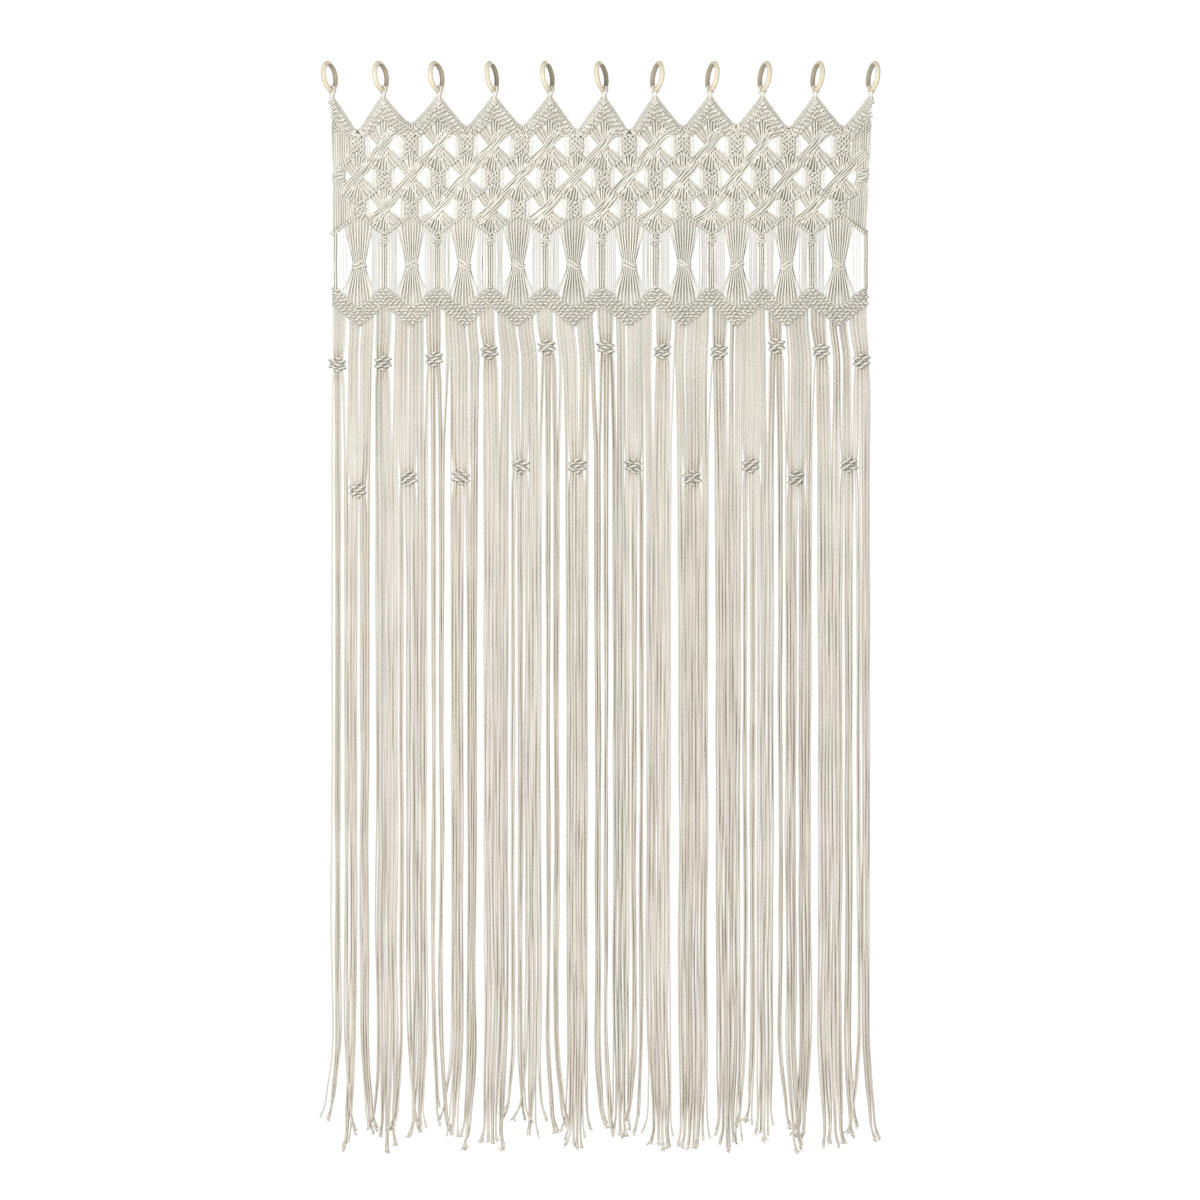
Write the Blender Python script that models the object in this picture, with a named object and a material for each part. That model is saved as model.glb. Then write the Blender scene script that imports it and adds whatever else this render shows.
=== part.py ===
"""Macrame door curtain: a knotted net heading on eleven wooden rings, with a long cord fringe.

Metres, +Z up. The curtain hangs flat in the XZ plane and its face looks along -Y.
The origin is on the line on which a rod bears in the rings, near the middle ring.
"""
import math
from typing import NamedTuple

import bmesh
import bpy
from mathutils import Matrix, Vector

PART_NAME = "macrame_curtain"

# Spacing: a peak of the heading hangs from each ring, and a valley lies between two peaks.
# The net is tied by hand, so its peaks are not quite evenly spaced.
PEAK_MIDDLES = (-0.493, -0.399, -0.297, -0.195, -0.093, 0.006, 0.100, 0.201, 0.297, 0.394, 0.496)
PEAK_COUNT = len(PEAK_MIDDLES)
HALF_PITCH = 0.050

# Rings: turned wood, round in section, nearly edge-on to the viewer; the first three are turned more.
RING_OUTER = 0.058
RING_BAND = 0.0095
RING_LEAN = math.radians(10)
RING_TURNS = (math.radians(26), math.radians(20))
RINGS_TURNED_MORE = 3
RINGS_LEANING_LEFT = 6
RING_SEGMENTS = 26
BAND_SEGMENTS = 8

# Hanging loops: turns of cord round each ring's lower limb.
LOOP_CORD = 0.004
LOOP_WIDTH = 0.010
LOOP_SEGMENTS = 12
LOOP_CORD_SEGMENTS = 6

# Cloth thicknesses and the gap kept between separate pieces.
NET_THICKNESS = 0.008
FRINGE_THICKNESS = 0.006
PIECE_GAP = 0.0003

# Solid knots: half sizes along X, Y and Z.
TIE_HALF = (0.0130, 0.0080, 0.0120)
FRINGE_KNOT_HALF = (0.0135, 0.0065, 0.0130)
KNOT_SEGMENTS = 10
KNOT_RINGS = 6


class Zigzag(NamedTuple):
    """Heights of an edge that rises under each ring and drops between two rings."""

    peak_z: float
    valley_z: float


# The heading dips between two rings, to a different height each time.
HEADING_PEAK_Z = -0.0495
HEADING_VALLEYS_Z = (-0.116, -0.101, -0.107, -0.106, -0.114, -0.116, -0.107, -0.104, -0.110, -0.107)
NET_FOOT = Zigzag(-0.4400, -0.4800)
EDGE_MARGIN = 0.006
LEFT_EDGE = PEAK_MIDDLES[0] - EDGE_MARGIN
RIGHT_EDGE = PEAK_MIDDLES[-1] + EDGE_MARGIN
PEAK_FLAT = 0.003
VALLEY_FLAT = 0.004

# Lattice: each crossing has a pointed hole on its left and right.
HOLE_TIP_X = 0.0100
HOLE_FAR_X = 0.0300
HOLE_HALF_HEIGHT = 0.0170
HOLE_SHOULDER_X = 0.0220


class LatticeRow(NamedTuple):
    """One row of crossings: its height, and whether they stand under the peaks."""

    z: float
    under_peaks: bool


LATTICE_ROWS = (
    LatticeRow(-0.1450, True),
    LatticeRow(-0.2025, False),
    LatticeRow(-0.2620, True),
)


class WindowCorner(NamedTuple):
    """A corner of a tall window between a straight strip and a gathered bundle."""

    from_peak: float
    z: float


WINDOW = (
    WindowCorner(0.0160, -0.3060),
    WindowCorner(0.0270, -0.2960),
    WindowCorner(0.0370, -0.3650),
    WindowCorner(0.0260, -0.4180),
    WindowCorner(0.0160, -0.4110),
)
TIE_Z = -0.3650


class FringeKnot(NamedTuple):
    """A small diamond of square knots on the fringe."""

    x: float
    z: float


UPPER_FRINGE_KNOTS = (
    FringeKnot(-0.483, -0.548),
    FringeKnot(-0.399, -0.545),
    FringeKnot(-0.305, -0.537),
    FringeKnot(-0.203, -0.524),
    FringeKnot(-0.096, -0.515),
    FringeKnot(0.010, -0.517),
    FringeKnot(0.113, -0.524),
    FringeKnot(0.217, -0.524),
    FringeKnot(0.324, -0.513),
    FringeKnot(0.406, -0.523),
    FringeKnot(0.479, -0.541),
)
LOWER_FRINGE_KNOTS = (
    FringeKnot(-0.445, -0.778),
    FringeKnot(-0.353, -0.756),
    FringeKnot(-0.256, -0.754),
    FringeKnot(-0.148, -0.734),
    FringeKnot(-0.043, -0.734),
    FringeKnot(0.060, -0.734),
    FringeKnot(0.168, -0.756),
    FringeKnot(0.276, -0.732),
    FringeKnot(0.359, -0.756),
    FringeKnot(0.456, -0.732),
)


class Tress(NamedTuple):
    """A tress of the fringe: its middle, or how far that is from the middle of a pattern, and its width."""

    x: float
    width: float


# Between two wide tresses hang slimmer ones and single strands. The middle of the fringe is the same to
# both sides, and its right side is mirrored once more about the next wide tress.
FRINGE_MIDDLE = -0.043
NEXT_MIDDLE = 0.170
MIDDLE_TRESS = Tress(FRINGE_MIDDLE, 0.036)
NEXT_TRESS = Tress(NEXT_MIDDLE, 0.051)
PATTERN = (
    Tress(0.038, 0.008),
    Tress(0.053, 0.005),
    Tress(0.081, 0.028),
    Tress(0.104, 0.007),
    Tress(0.118, 0.005),
    Tress(0.149, 0.042),
)
LEFT_TRESSES = (
    Tress(-0.493, 0.008),
    Tress(-0.482, 0.008),
    Tress(-0.466, 0.005),
    Tress(-0.454, 0.011),
    Tress(-0.433, 0.014),
    Tress(-0.392, 0.038),
    Tress(-0.365, 0.005),
    Tress(-0.352, 0.006),
    Tress(-0.332, 0.025),
    Tress(-0.306, 0.005),
    Tress(-0.292, 0.005),
    Tress(-0.263, 0.020),
    Tress(-0.236, 0.014),
)
RIGHT_TRESSES = (
    Tress(0.349, 0.017),
    Tress(0.375, 0.020),
    Tress(0.421, 0.042),
    Tress(0.455, 0.011),
    Tress(0.474, 0.005),
    Tress(0.487, 0.012),
)
PARTINGS_Z = (-0.530, -0.560)

# The wider a tress, the lower it reaches.
SLIM_WIDTH = 0.010
WIDE_WIDTH = 0.030
SLIM_FOOT_Z = -1.940
PLAIN_FOOT_Z = -1.966
WIDE_FOOT_Z = -1.988
PARTING_TAPER = 0.060
FOOT_SLANT = 0.012

FINISHES = {
    "ring_wood": ((0.80, 0.72, 0.54), 0.45),
    "cotton_cord": ((0.74, 0.70, 0.60), 0.85),
}


def clear_scene():
    """Remove whatever the file opened with."""
    for scene_object in list(bpy.data.objects):
        bpy.data.objects.remove(scene_object, do_unlink=True)


def new_collection(name, parent):
    """Make a collection inside another."""
    collection = bpy.data.collections.new(name)
    parent.children.link(collection)
    return collection


def move_to(scene_object, collection):
    """Put an object in one collection only."""
    for holder in list(scene_object.users_collection):
        holder.objects.unlink(scene_object)
    collection.objects.link(scene_object)


def dress(scene_object, finish):
    """Give an object its own Principled material."""
    colour, roughness = FINISHES[finish]
    material = bpy.data.materials.new(f"{scene_object.name}_{finish}")
    material.use_nodes = True
    shader = material.node_tree.nodes["Principled BSDF"]
    shader.inputs["Base Color"].default_value = (*colour, 1.0)
    shader.inputs["Roughness"].default_value = roughness
    shader.inputs["Metallic"].default_value = 0.0
    scene_object.data.materials.clear()
    scene_object.data.materials.append(material)


def peak_x(index):
    """Middle of a peak, counted from the left."""
    return PEAK_MIDDLES[index]


def valley_x(index):
    """Middle of the valley to the right of a peak."""
    return (peak_x(index) + peak_x(index + 1)) / 2


def flat_piece(name, outline, holes, thickness, collection):
    """A sheet cut to an outline in the XZ plane, with holes, centred on Y = 0, as a mesh."""
    curve = bpy.data.curves.new(f"{name}_outline", "CURVE")
    curve.dimensions = "2D"
    curve.fill_mode = "BOTH"
    curve.extrude = thickness / 2
    for loop in [outline, *holes]:
        spline = curve.splines.new("POLY")
        spline.points.add(len(loop) - 1)
        for point, (x, z) in zip(spline.points, loop):
            point.co = (x, z, 0, 1)
        spline.use_cyclic_u = True
    drawing = bpy.data.objects.new(f"{name}_outline", curve)
    drawing.rotation_euler = (math.pi / 2, 0, 0)
    collection.objects.link(drawing)
    bpy.context.view_layer.update()
    evaluated = drawing.evaluated_get(bpy.context.evaluated_depsgraph_get())
    mesh = bpy.data.meshes.new_from_object(evaluated)
    sheet = bpy.data.objects.new(name, mesh)
    sheet.matrix_world = drawing.matrix_world
    collection.objects.link(sheet)
    bpy.data.objects.remove(drawing)
    weld(sheet)
    return sheet


def weld(scene_object):
    """Join the loose caps of a mesh that was a curve."""
    edit = bmesh.new()
    edit.from_mesh(scene_object.data)
    bmesh.ops.remove_doubles(edit, verts=edit.verts, dist=0.000001)
    edit.to_mesh(scene_object.data)
    edit.free()


def add_ball(name, centre, half_sizes, collection):
    """A knot's plain solid: a ball stretched to three half sizes."""
    bpy.ops.mesh.primitive_uv_sphere_add(
        segments=KNOT_SEGMENTS, ring_count=KNOT_RINGS, radius=1.0, location=centre
    )
    ball = bpy.context.active_object
    ball.name = name
    ball.scale = half_sizes
    move_to(ball, collection)
    hide_cutter(ball)
    return ball


def hide_cutter(scene_object):
    """Mark an object as a guide that is not part of the model."""
    scene_object.hide_render = True
    scene_object.display_type = "WIRE"


def unite(scene_object, operands, name):
    """Union a piece with every object of a collection."""
    boolean = scene_object.modifiers.new(name, "BOOLEAN")
    boolean.operation = "UNION"
    boolean.operand_type = "COLLECTION"
    boolean.collection = operands


def smooth(scene_object, degrees):
    """Shade the round parts smooth and keep the sharp edges."""
    scene_object.data.shade_smooth()
    scene_object.data.set_sharp_from_angle(angle=math.radians(degrees))


class RingPose:
    """Where a ring hangs: its turn about the vertical, its lean and its centre."""

    major_radius = (RING_OUTER - RING_BAND) / 2
    minor_radius = RING_BAND / 2

    def __init__(self, index):
        side = -1 if index < RINGS_LEANING_LEFT else 1
        turn = RING_TURNS[0] if index < RINGS_TURNED_MORE else RING_TURNS[1]
        self.spin = Matrix.Rotation(side * RING_LEAN, 4, "Y") @ Matrix.Rotation(side * turn, 4, "Z")
        up = self.spin @ Vector((0, 0, 1))
        bearing_depth = (self.major_radius - self.minor_radius) * up.z
        foot_offset = self.major_radius * up
        self.centre = Vector((peak_x(index) + foot_offset.x, 0, -bearing_depth))
        self.foot = self.centre - foot_offset


def add_ring(index, collection):
    """One wooden ring, its hole facing along the rod."""
    pose = RingPose(index)
    bpy.ops.mesh.primitive_torus_add(
        major_segments=RING_SEGMENTS,
        minor_segments=BAND_SEGMENTS,
        major_radius=pose.major_radius,
        minor_radius=pose.minor_radius,
    )
    ring = bpy.context.active_object
    ring.name = f"ring_{index + 1:02d}"
    ring.matrix_world = Matrix.Translation(pose.centre) @ pose.spin @ Matrix.Rotation(math.pi / 2, 4, "Y")
    smooth(ring, 60)
    move_to(ring, collection)
    dress(ring, "ring_wood")


def add_loop(index, collection):
    """The turns of cord that hang a peak from its ring, as one band round the ring's lower limb."""
    pose = RingPose(index)
    cord_radius = LOOP_CORD / 2
    bpy.ops.mesh.primitive_torus_add(
        major_segments=LOOP_SEGMENTS,
        minor_segments=LOOP_CORD_SEGMENTS,
        major_radius=pose.minor_radius + PIECE_GAP + cord_radius,
        minor_radius=cord_radius,
    )
    loop = bpy.context.active_object
    loop.name = f"loop_{index + 1:02d}"
    stretch = Matrix.Diagonal((1, 1, LOOP_WIDTH / LOOP_CORD, 1))
    loop.matrix_world = Matrix.Translation(pose.foot) @ pose.spin @ Matrix.Rotation(math.pi / 2, 4, "X") @ stretch
    move_to(loop, collection)
    hide_cutter(loop)


def all_tresses():
    """Every tress, from left to right."""
    left = [Tress(FRINGE_MIDDLE - away, width) for away, width in PATTERN]
    right = [Tress(FRINGE_MIDDLE + away, width) for away, width in PATTERN]
    mirrored = [Tress(2 * NEXT_MIDDLE - x, width) for x, width in right[1:]]
    return sorted([*LEFT_TRESSES, *left, MIDDLE_TRESS, *right, NEXT_TRESS, *mirrored, *RIGHT_TRESSES])


def foot_z(tress):
    """Z of the lowest tip of a tress."""
    if tress.width < SLIM_WIDTH:
        return SLIM_FOOT_Z
    return WIDE_FOOT_Z if tress.width > WIDE_WIDTH else PLAIN_FOOT_Z


def heading_outline():
    """The net's outer form: peaks along the top, a zigzag along the foot."""
    points = [(LEFT_EDGE, HEADING_PEAK_Z)]
    for index in range(PEAK_COUNT):
        if index > 0:
            points.append((peak_x(index) - PEAK_FLAT, HEADING_PEAK_Z))
        if index < PEAK_COUNT - 1:
            points.append((peak_x(index) + PEAK_FLAT, HEADING_PEAK_Z))
            points.append((valley_x(index) - VALLEY_FLAT, HEADING_VALLEYS_Z[index]))
            points.append((valley_x(index) + VALLEY_FLAT, HEADING_VALLEYS_Z[index]))
    points.append((RIGHT_EDGE, HEADING_PEAK_Z))
    points.append((RIGHT_EDGE, NET_FOOT.peak_z))
    points.extend(reversed(zigzag_points(NET_FOOT, 0.0)))
    points.append((LEFT_EDGE, NET_FOOT.peak_z))
    return points


def zigzag_points(edge, drop):
    """Corners of a zigzag edge from left to right, lowered by a drop, without its outer ends."""
    points = []
    for index in range(PEAK_COUNT - 1):
        if index > 0:
            points.append((peak_x(index), edge.peak_z - drop))
        points.append((valley_x(index), edge.valley_z - drop))
    return points


def lattice_holes():
    """Pointed holes left and right of each crossing; the outer peaks have none."""
    holes = []
    for row in LATTICE_ROWS:
        middles = [peak_x(i) for i in range(1, PEAK_COUNT - 1)]
        if not row.under_peaks:
            middles = [valley_x(i) for i in range(PEAK_COUNT - 1)]
        for middle in middles:
            holes.extend(lattice_hole(middle, row.z, side) for side in (-1, 1))
    return holes


def lattice_hole(middle, z, side):
    """One five-cornered hole that points at its crossing."""
    return [
        (middle + side * HOLE_TIP_X, z),
        (middle + side * HOLE_SHOULDER_X, z + HOLE_HALF_HEIGHT),
        (middle + side * HOLE_FAR_X, z + HOLE_HALF_HEIGHT),
        (middle + side * HOLE_FAR_X, z - HOLE_HALF_HEIGHT),
        (middle + side * HOLE_SHOULDER_X, z - HOLE_HALF_HEIGHT),
    ]


def tall_windows():
    """Windows between the gathered bundles and the straight strips under the peaks."""
    windows = []
    for index in range(PEAK_COUNT - 1):
        stretch = (valley_x(index) - peak_x(index)) / HALF_PITCH
        windows.append([(peak_x(index) + stretch * corner.from_peak, corner.z) for corner in WINDOW])
        windows.append([(peak_x(index + 1) - stretch * corner.from_peak, corner.z) for corner in WINDOW])
    return windows


def build_net(collection, cutters):
    """The knotted net, with its hanging loops and the ties of its gathered bundles."""
    net = flat_piece(
        "net_heading", heading_outline(), lattice_holes() + tall_windows(), NET_THICKNESS, collection
    )
    extras = new_collection("net_extras", cutters)
    for index in range(PEAK_COUNT):
        add_loop(index, extras)
    for index in range(PEAK_COUNT - 1):
        add_ball(f"tie_{index + 1:02d}", (valley_x(index), 0, TIE_Z), TIE_HALF, extras)
    unite(net, extras, "loops_and_ties")
    dress(net, "cotton_cord")


def fringe_outline():
    """The comb: a zigzag top just under the net and one tooth for each tress."""
    drop = PIECE_GAP * math.hypot(HALF_PITCH, NET_FOOT.peak_z - NET_FOOT.valley_z) / HALF_PITCH
    points = [(LEFT_EDGE, NET_FOOT.peak_z - drop)]
    points.extend(zigzag_points(NET_FOOT, drop))
    points.append((RIGHT_EDGE, NET_FOOT.peak_z - drop))
    tresses = all_tresses()
    for index in reversed(range(len(tresses))):
        tress, parting_z = tresses[index], PARTINGS_Z[index % 2]
        points.extend(tress_points(tress, parting_z - PARTING_TAPER))
        if index > 0:
            left_edge = tress.x - tress.width / 2
            right_edge = tresses[index - 1].x + tresses[index - 1].width / 2
            points.append(((left_edge + right_edge) / 2, parting_z))
    return points


def tress_points(tress, top):
    """Right side, foot and left side of one tooth, up to a height."""
    right = tress.x + tress.width / 2
    left = tress.x - tress.width / 2
    foot = foot_z(tress)
    return [
        (right, top),
        (right, foot + FOOT_SLANT),
        (tress.x + tress.width / 6, foot),
        (left, foot + FOOT_SLANT / 2),
        (left, top),
    ]


def build_fringe(collection, cutters):
    """The fringe as one comb, with its two rows of knots."""
    fringe = flat_piece("fringe_comb", fringe_outline(), [], FRINGE_THICKNESS, collection)
    extras = new_collection("fringe_extras", cutters)
    for number, knot in enumerate(UPPER_FRINGE_KNOTS + LOWER_FRINGE_KNOTS, start=1):
        add_ball(f"knot_{number:02d}", (knot.x, 0, knot.z), FRINGE_KNOT_HALF, extras)
    unite(fringe, extras, "knots")
    dress(fringe, "cotton_cord")


def main():
    """Build every piece of the curtain."""
    clear_scene()
    part = new_collection(PART_NAME, bpy.context.scene.collection)
    cutters = new_collection(f"{PART_NAME}_cutters", bpy.context.scene.collection)
    for index in range(PEAK_COUNT):
        add_ring(index, part)
    build_net(part, cutters)
    build_fringe(part, cutters)


main()
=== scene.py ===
"""Macrame door curtain: eleven wooden rings, a knotted net heading and a long cotton fringe."""

from __future__ import annotations

import logging
import math
from collections.abc import Callable
from dataclasses import dataclass, field
from enum import Enum

import bpy
import numpy as np
from mathutils import Matrix, Vector

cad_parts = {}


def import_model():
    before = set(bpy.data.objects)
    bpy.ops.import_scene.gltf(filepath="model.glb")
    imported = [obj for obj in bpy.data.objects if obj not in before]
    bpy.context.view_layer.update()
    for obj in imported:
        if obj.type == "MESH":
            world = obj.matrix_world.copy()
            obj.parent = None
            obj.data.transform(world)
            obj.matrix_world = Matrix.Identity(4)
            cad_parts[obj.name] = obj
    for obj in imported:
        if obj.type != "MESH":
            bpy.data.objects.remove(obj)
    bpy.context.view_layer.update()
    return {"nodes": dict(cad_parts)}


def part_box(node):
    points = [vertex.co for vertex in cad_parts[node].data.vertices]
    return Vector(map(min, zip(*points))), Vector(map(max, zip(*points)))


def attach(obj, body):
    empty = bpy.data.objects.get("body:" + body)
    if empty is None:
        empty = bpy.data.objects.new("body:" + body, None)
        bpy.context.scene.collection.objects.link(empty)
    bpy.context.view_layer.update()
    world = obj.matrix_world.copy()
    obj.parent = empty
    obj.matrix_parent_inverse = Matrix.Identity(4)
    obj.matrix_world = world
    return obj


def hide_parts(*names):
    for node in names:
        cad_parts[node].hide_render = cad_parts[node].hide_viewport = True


LOG = logging.getLogger("macrame")
Array = np.ndarray

CORD = 0.0033  # thickness of the cotton cord, metres
RNG_SEED = 1907


class Side(Enum):
    """The two sides of a peak or a knot."""

    LEFT = -1
    RIGHT = 1


class End(Enum):
    """How a tube of cord is finished at its two ends."""

    BLUNT = "blunt"
    JOINED = "joined"


# ---------------------------------------------------------------- colours


def linear(red: int, green: int, blue: int) -> tuple[float, float, float, float]:
    """Turns a colour as read off a screen into the linear one that shaders take.

    Args:
        red, green, blue: 0 to 255.

    Returns:
        Linear red, green, blue and an alpha of 1.
    """

    def one(value: int) -> float:
        """Converts one channel."""
        share = value / 255
        return share / 12.92 if share <= 0.04045 else ((share + 0.055) / 1.055) ** 2.4

    return one(red), one(green), one(blue), 1.0


# ---------------------------------------------------------------- materials


class Wiring:
    """Adds nodes to one tree and joins them."""

    def __init__(self, tree: bpy.types.NodeTree) -> None:
        """Starts on a tree.

        Args:
            tree: the tree that the nodes go into.
        """
        self.tree = tree

    def node(self, kind: str, **settings: object) -> bpy.types.Node:
        """Adds a node.

        Args:
            kind: the node's type name without its ShaderNode prefix.
            settings: properties of the node to set.

        Returns:
            The new node.
        """
        made = self.tree.nodes.new("ShaderNode" + kind)
        for name, value in settings.items():
            setattr(made, name, value)
        return made

    def join(self, source: bpy.types.NodeSocket, target: bpy.types.NodeSocket) -> None:
        """Joins an output to an input."""
        self.tree.links.new(source, target)

    def feed(self, target: bpy.types.NodeSocket, value: object) -> None:
        """Joins an output to an input, or sets the input to a plain value."""
        if isinstance(value, bpy.types.NodeSocket):
            self.join(value, target)
        else:
            target.default_value = value

    def sum(self, kind: str, *values: object, clamp: bool = False) -> bpy.types.NodeSocket:
        """Adds a Math node.

        Args:
            kind: its operation.
            values: its inputs, each an output or a number.
            clamp: keeps the result between 0 and 1.

        Returns:
            The result's socket.
        """
        made = self.node("Math", operation=kind, use_clamp=clamp)
        for socket, value in zip(made.inputs, values):
            self.feed(socket, value)
        return made.outputs[0]

    def ramp(
        self, value: bpy.types.NodeSocket, start: float, end: float, low: float, high: float
    ) -> bpy.types.NodeSocket:
        """Eases a value from one range to another.

        Args:
            value: what is read.
            start, end: the range it is read over.
            low, high: what comes out at the two ends.

        Returns:
            The result's socket.
        """
        made = self.node("MapRange", interpolation_type="SMOOTHSTEP")
        for socket, number in zip(made.inputs, (value, start, end, low, high)):
            self.feed(socket, number)
        return made.outputs[0]

    def blend(self, share: object, first: object, second: object, kind: str = "MIX") -> bpy.types.NodeSocket:
        """Mixes two colours.

        Args:
            share: how much of the second there is.
            first, second: the colours.
            kind: the blend type.

        Returns:
            The mixed colour's socket.
        """
        made = self.node("Mix", data_type="RGBA", blend_type=kind)
        self.feed(made.inputs[0], share)
        self.feed(made.inputs[6], first)
        self.feed(made.inputs[7], second)
        return made.outputs[2]


@dataclass(frozen=True)
class PlyTwist:
    """The twist of a plied cord, as a node group: ridges, the grooves between them, and loose fibres."""

    name: str = "ply_twist"

    def group(self) -> bpy.types.NodeTree:
        """Makes the group once.

        Returns:
            The node group.
        """
        made = bpy.data.node_groups.get(self.name)
        if made:
            return made
        made = bpy.data.node_groups.new(self.name, "ShaderNodeTree")
        for label, value in (("Plies", 3.0), ("Pitch", 0.012), ("Fibre", 0.3)):
            socket = made.interface.new_socket(label, in_out="INPUT", socket_type="NodeSocketFloat")
            socket.default_value = value
        for label in ("Height", "Groove"):
            made.interface.new_socket(label, in_out="OUTPUT", socket_type="NodeSocketFloat")
        wiring = Wiring(made)
        inputs, outputs = made.nodes.new("NodeGroupInput"), made.nodes.new("NodeGroupOutput")
        place = wiring.node("SeparateXYZ")
        wiring.join(wiring.node("UVMap", uv_map="cord").outputs[0], place.inputs[0])
        around, along = place.outputs[0], place.outputs[1]
        turn = wiring.sum(
            "ADD",
            wiring.sum("MULTIPLY", around, inputs.outputs["Plies"]),
            wiring.sum("DIVIDE", along, inputs.outputs["Pitch"]),
        )
        ridge = wiring.sum("SINE", wiring.sum("MULTIPLY", wiring.sum("FRACT", turn), math.pi))
        # Fibres lie along the plies, so the noise is drawn out along the cord.
        drawn = wiring.node("CombineXYZ")
        wiring.join(
            wiring.sum("MULTIPLY", wiring.sum("SINE", wiring.sum("MULTIPLY", around, 2 * math.pi)), 9.0),
            drawn.inputs[0],
        )
        wiring.join(wiring.sum("MULTIPLY", along, 260.0), drawn.inputs[1])
        wiring.join(wiring.sum("MULTIPLY", turn, 5.0), drawn.inputs[2])
        noise = wiring.node("TexNoise")
        noise.inputs["Scale"].default_value = 1.0
        noise.inputs["Detail"].default_value = 3.0
        wiring.join(drawn.outputs[0], noise.inputs["Vector"])
        fibres = wiring.sum(
            "MULTIPLY", wiring.sum("SUBTRACT", noise.outputs[0], 0.5), inputs.outputs["Fibre"]
        )
        wiring.join(wiring.sum("ADD", ridge, fibres), outputs.inputs["Height"])
        wiring.join(
            wiring.ramp(wiring.sum("ADD", ridge, fibres), 0.1, 0.75, 1.0, 0.0), outputs.inputs["Groove"]
        )
        return made


@dataclass(frozen=True)
class CottonFinish:
    """Natural undyed cotton cord.

    Attributes:
        name: the material's name.
        light: the colour of a ply high on the curtain.
        shade: the colour in the grooves between plies.
        lower_colour: the colour that a ply takes towards the foot of the curtain.
        pitch: length of one full twist, metres.
        relief: height of a ply, metres.
        fibre: how loose the fibres are.
        painted_flank_shade: painted shade on a cord's flanks, how bright they are as a share of its crown.
        upper_z, lower_z: the heights between which the colour changes from light to lower_colour.
    """

    name: str
    light: tuple[int, int, int] = (250, 248, 240)
    shade: tuple[int, int, int] = (190, 183, 166)
    lower_colour: tuple[int, int, int] = (230, 224, 213)
    pitch: float = 0.011
    relief: float = 0.0005
    fibre: float = 0.35
    painted_flank_shade: float = 0.73
    upper_z: float = -0.45
    lower_z: float = -1.75

    def material(self) -> bpy.types.Material:
        """Makes the material once.

        Returns:
            The cord's material.
        """
        made = bpy.data.materials.get(self.name)
        if made:
            return made
        made = bpy.data.materials.new(self.name)
        made.use_nodes = True
        wiring = Wiring(made.node_tree)
        skin = made.node_tree.nodes["Principled BSDF"]
        twist = wiring.node("Group", node_tree=PlyTwist().group())
        twist.inputs["Pitch"].default_value = self.pitch
        twist.inputs["Fibre"].default_value = self.fibre
        place = wiring.node("TexCoord").outputs["Object"]
        height = wiring.node("SeparateXYZ")
        wiring.join(place, height.inputs[0])
        fall = wiring.ramp(height.outputs[2], self.upper_z, self.lower_z, 0.0, 1.0)
        by_height = wiring.blend(fall, linear(*self.light), linear(*self.lower_colour))
        colour = wiring.blend(
            wiring.sum("MULTIPLY", twist.outputs["Groove"], 0.6), by_height, linear(*self.shade)
        )
        cloud = wiring.node("TexNoise")
        cloud.inputs["Scale"].default_value = 14.0
        cloud.inputs["Detail"].default_value = 2.0
        wiring.join(place, cloud.inputs["Vector"])
        tone = wiring.node("Attribute", attribute_name="tone")
        even = wiring.sum(
            "MULTIPLY", tone.outputs["Fac"], wiring.ramp(cloud.outputs[0], 0.3, 0.7, 0.95, 1.03)
        )
        # Painted shade: where a cord faces sideways, its flanks are darkened against its crown, for the shade
        # where cords lie against each other.
        facing = wiring.node("SeparateXYZ")
        wiring.join(wiring.node("TexCoord").outputs["Normal"], facing.inputs[0])
        painted_flank_shade = wiring.ramp(wiring.sum("ABSOLUTE", facing.outputs[1]), 0.15, 0.88, self.painted_flank_shade, 1.0)
        even = wiring.sum("MULTIPLY", even, painted_flank_shade)
        grey = wiring.node("CombineColor")
        for channel in grey.inputs:
            wiring.join(even, channel)
        wiring.join(wiring.blend(1.0, colour, grey.outputs[0], "MULTIPLY"), skin.inputs["Base Color"])
        wiring.join(wiring.ramp(twist.outputs["Height"], 0.0, 1.0, 0.97, 0.82), skin.inputs["Roughness"])
        bump = wiring.node("Bump")
        bump.inputs["Strength"].default_value = 0.7
        bump.inputs["Distance"].default_value = self.relief
        wiring.join(twist.outputs["Height"], bump.inputs["Height"])
        wiring.join(bump.outputs[0], skin.inputs["Normal"])
        skin.inputs["Specular IOR Level"].default_value = 0.2
        skin.inputs["Sheen Weight"].default_value = 0.2
        skin.inputs["Sheen Roughness"].default_value = 0.5
        return made


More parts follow.
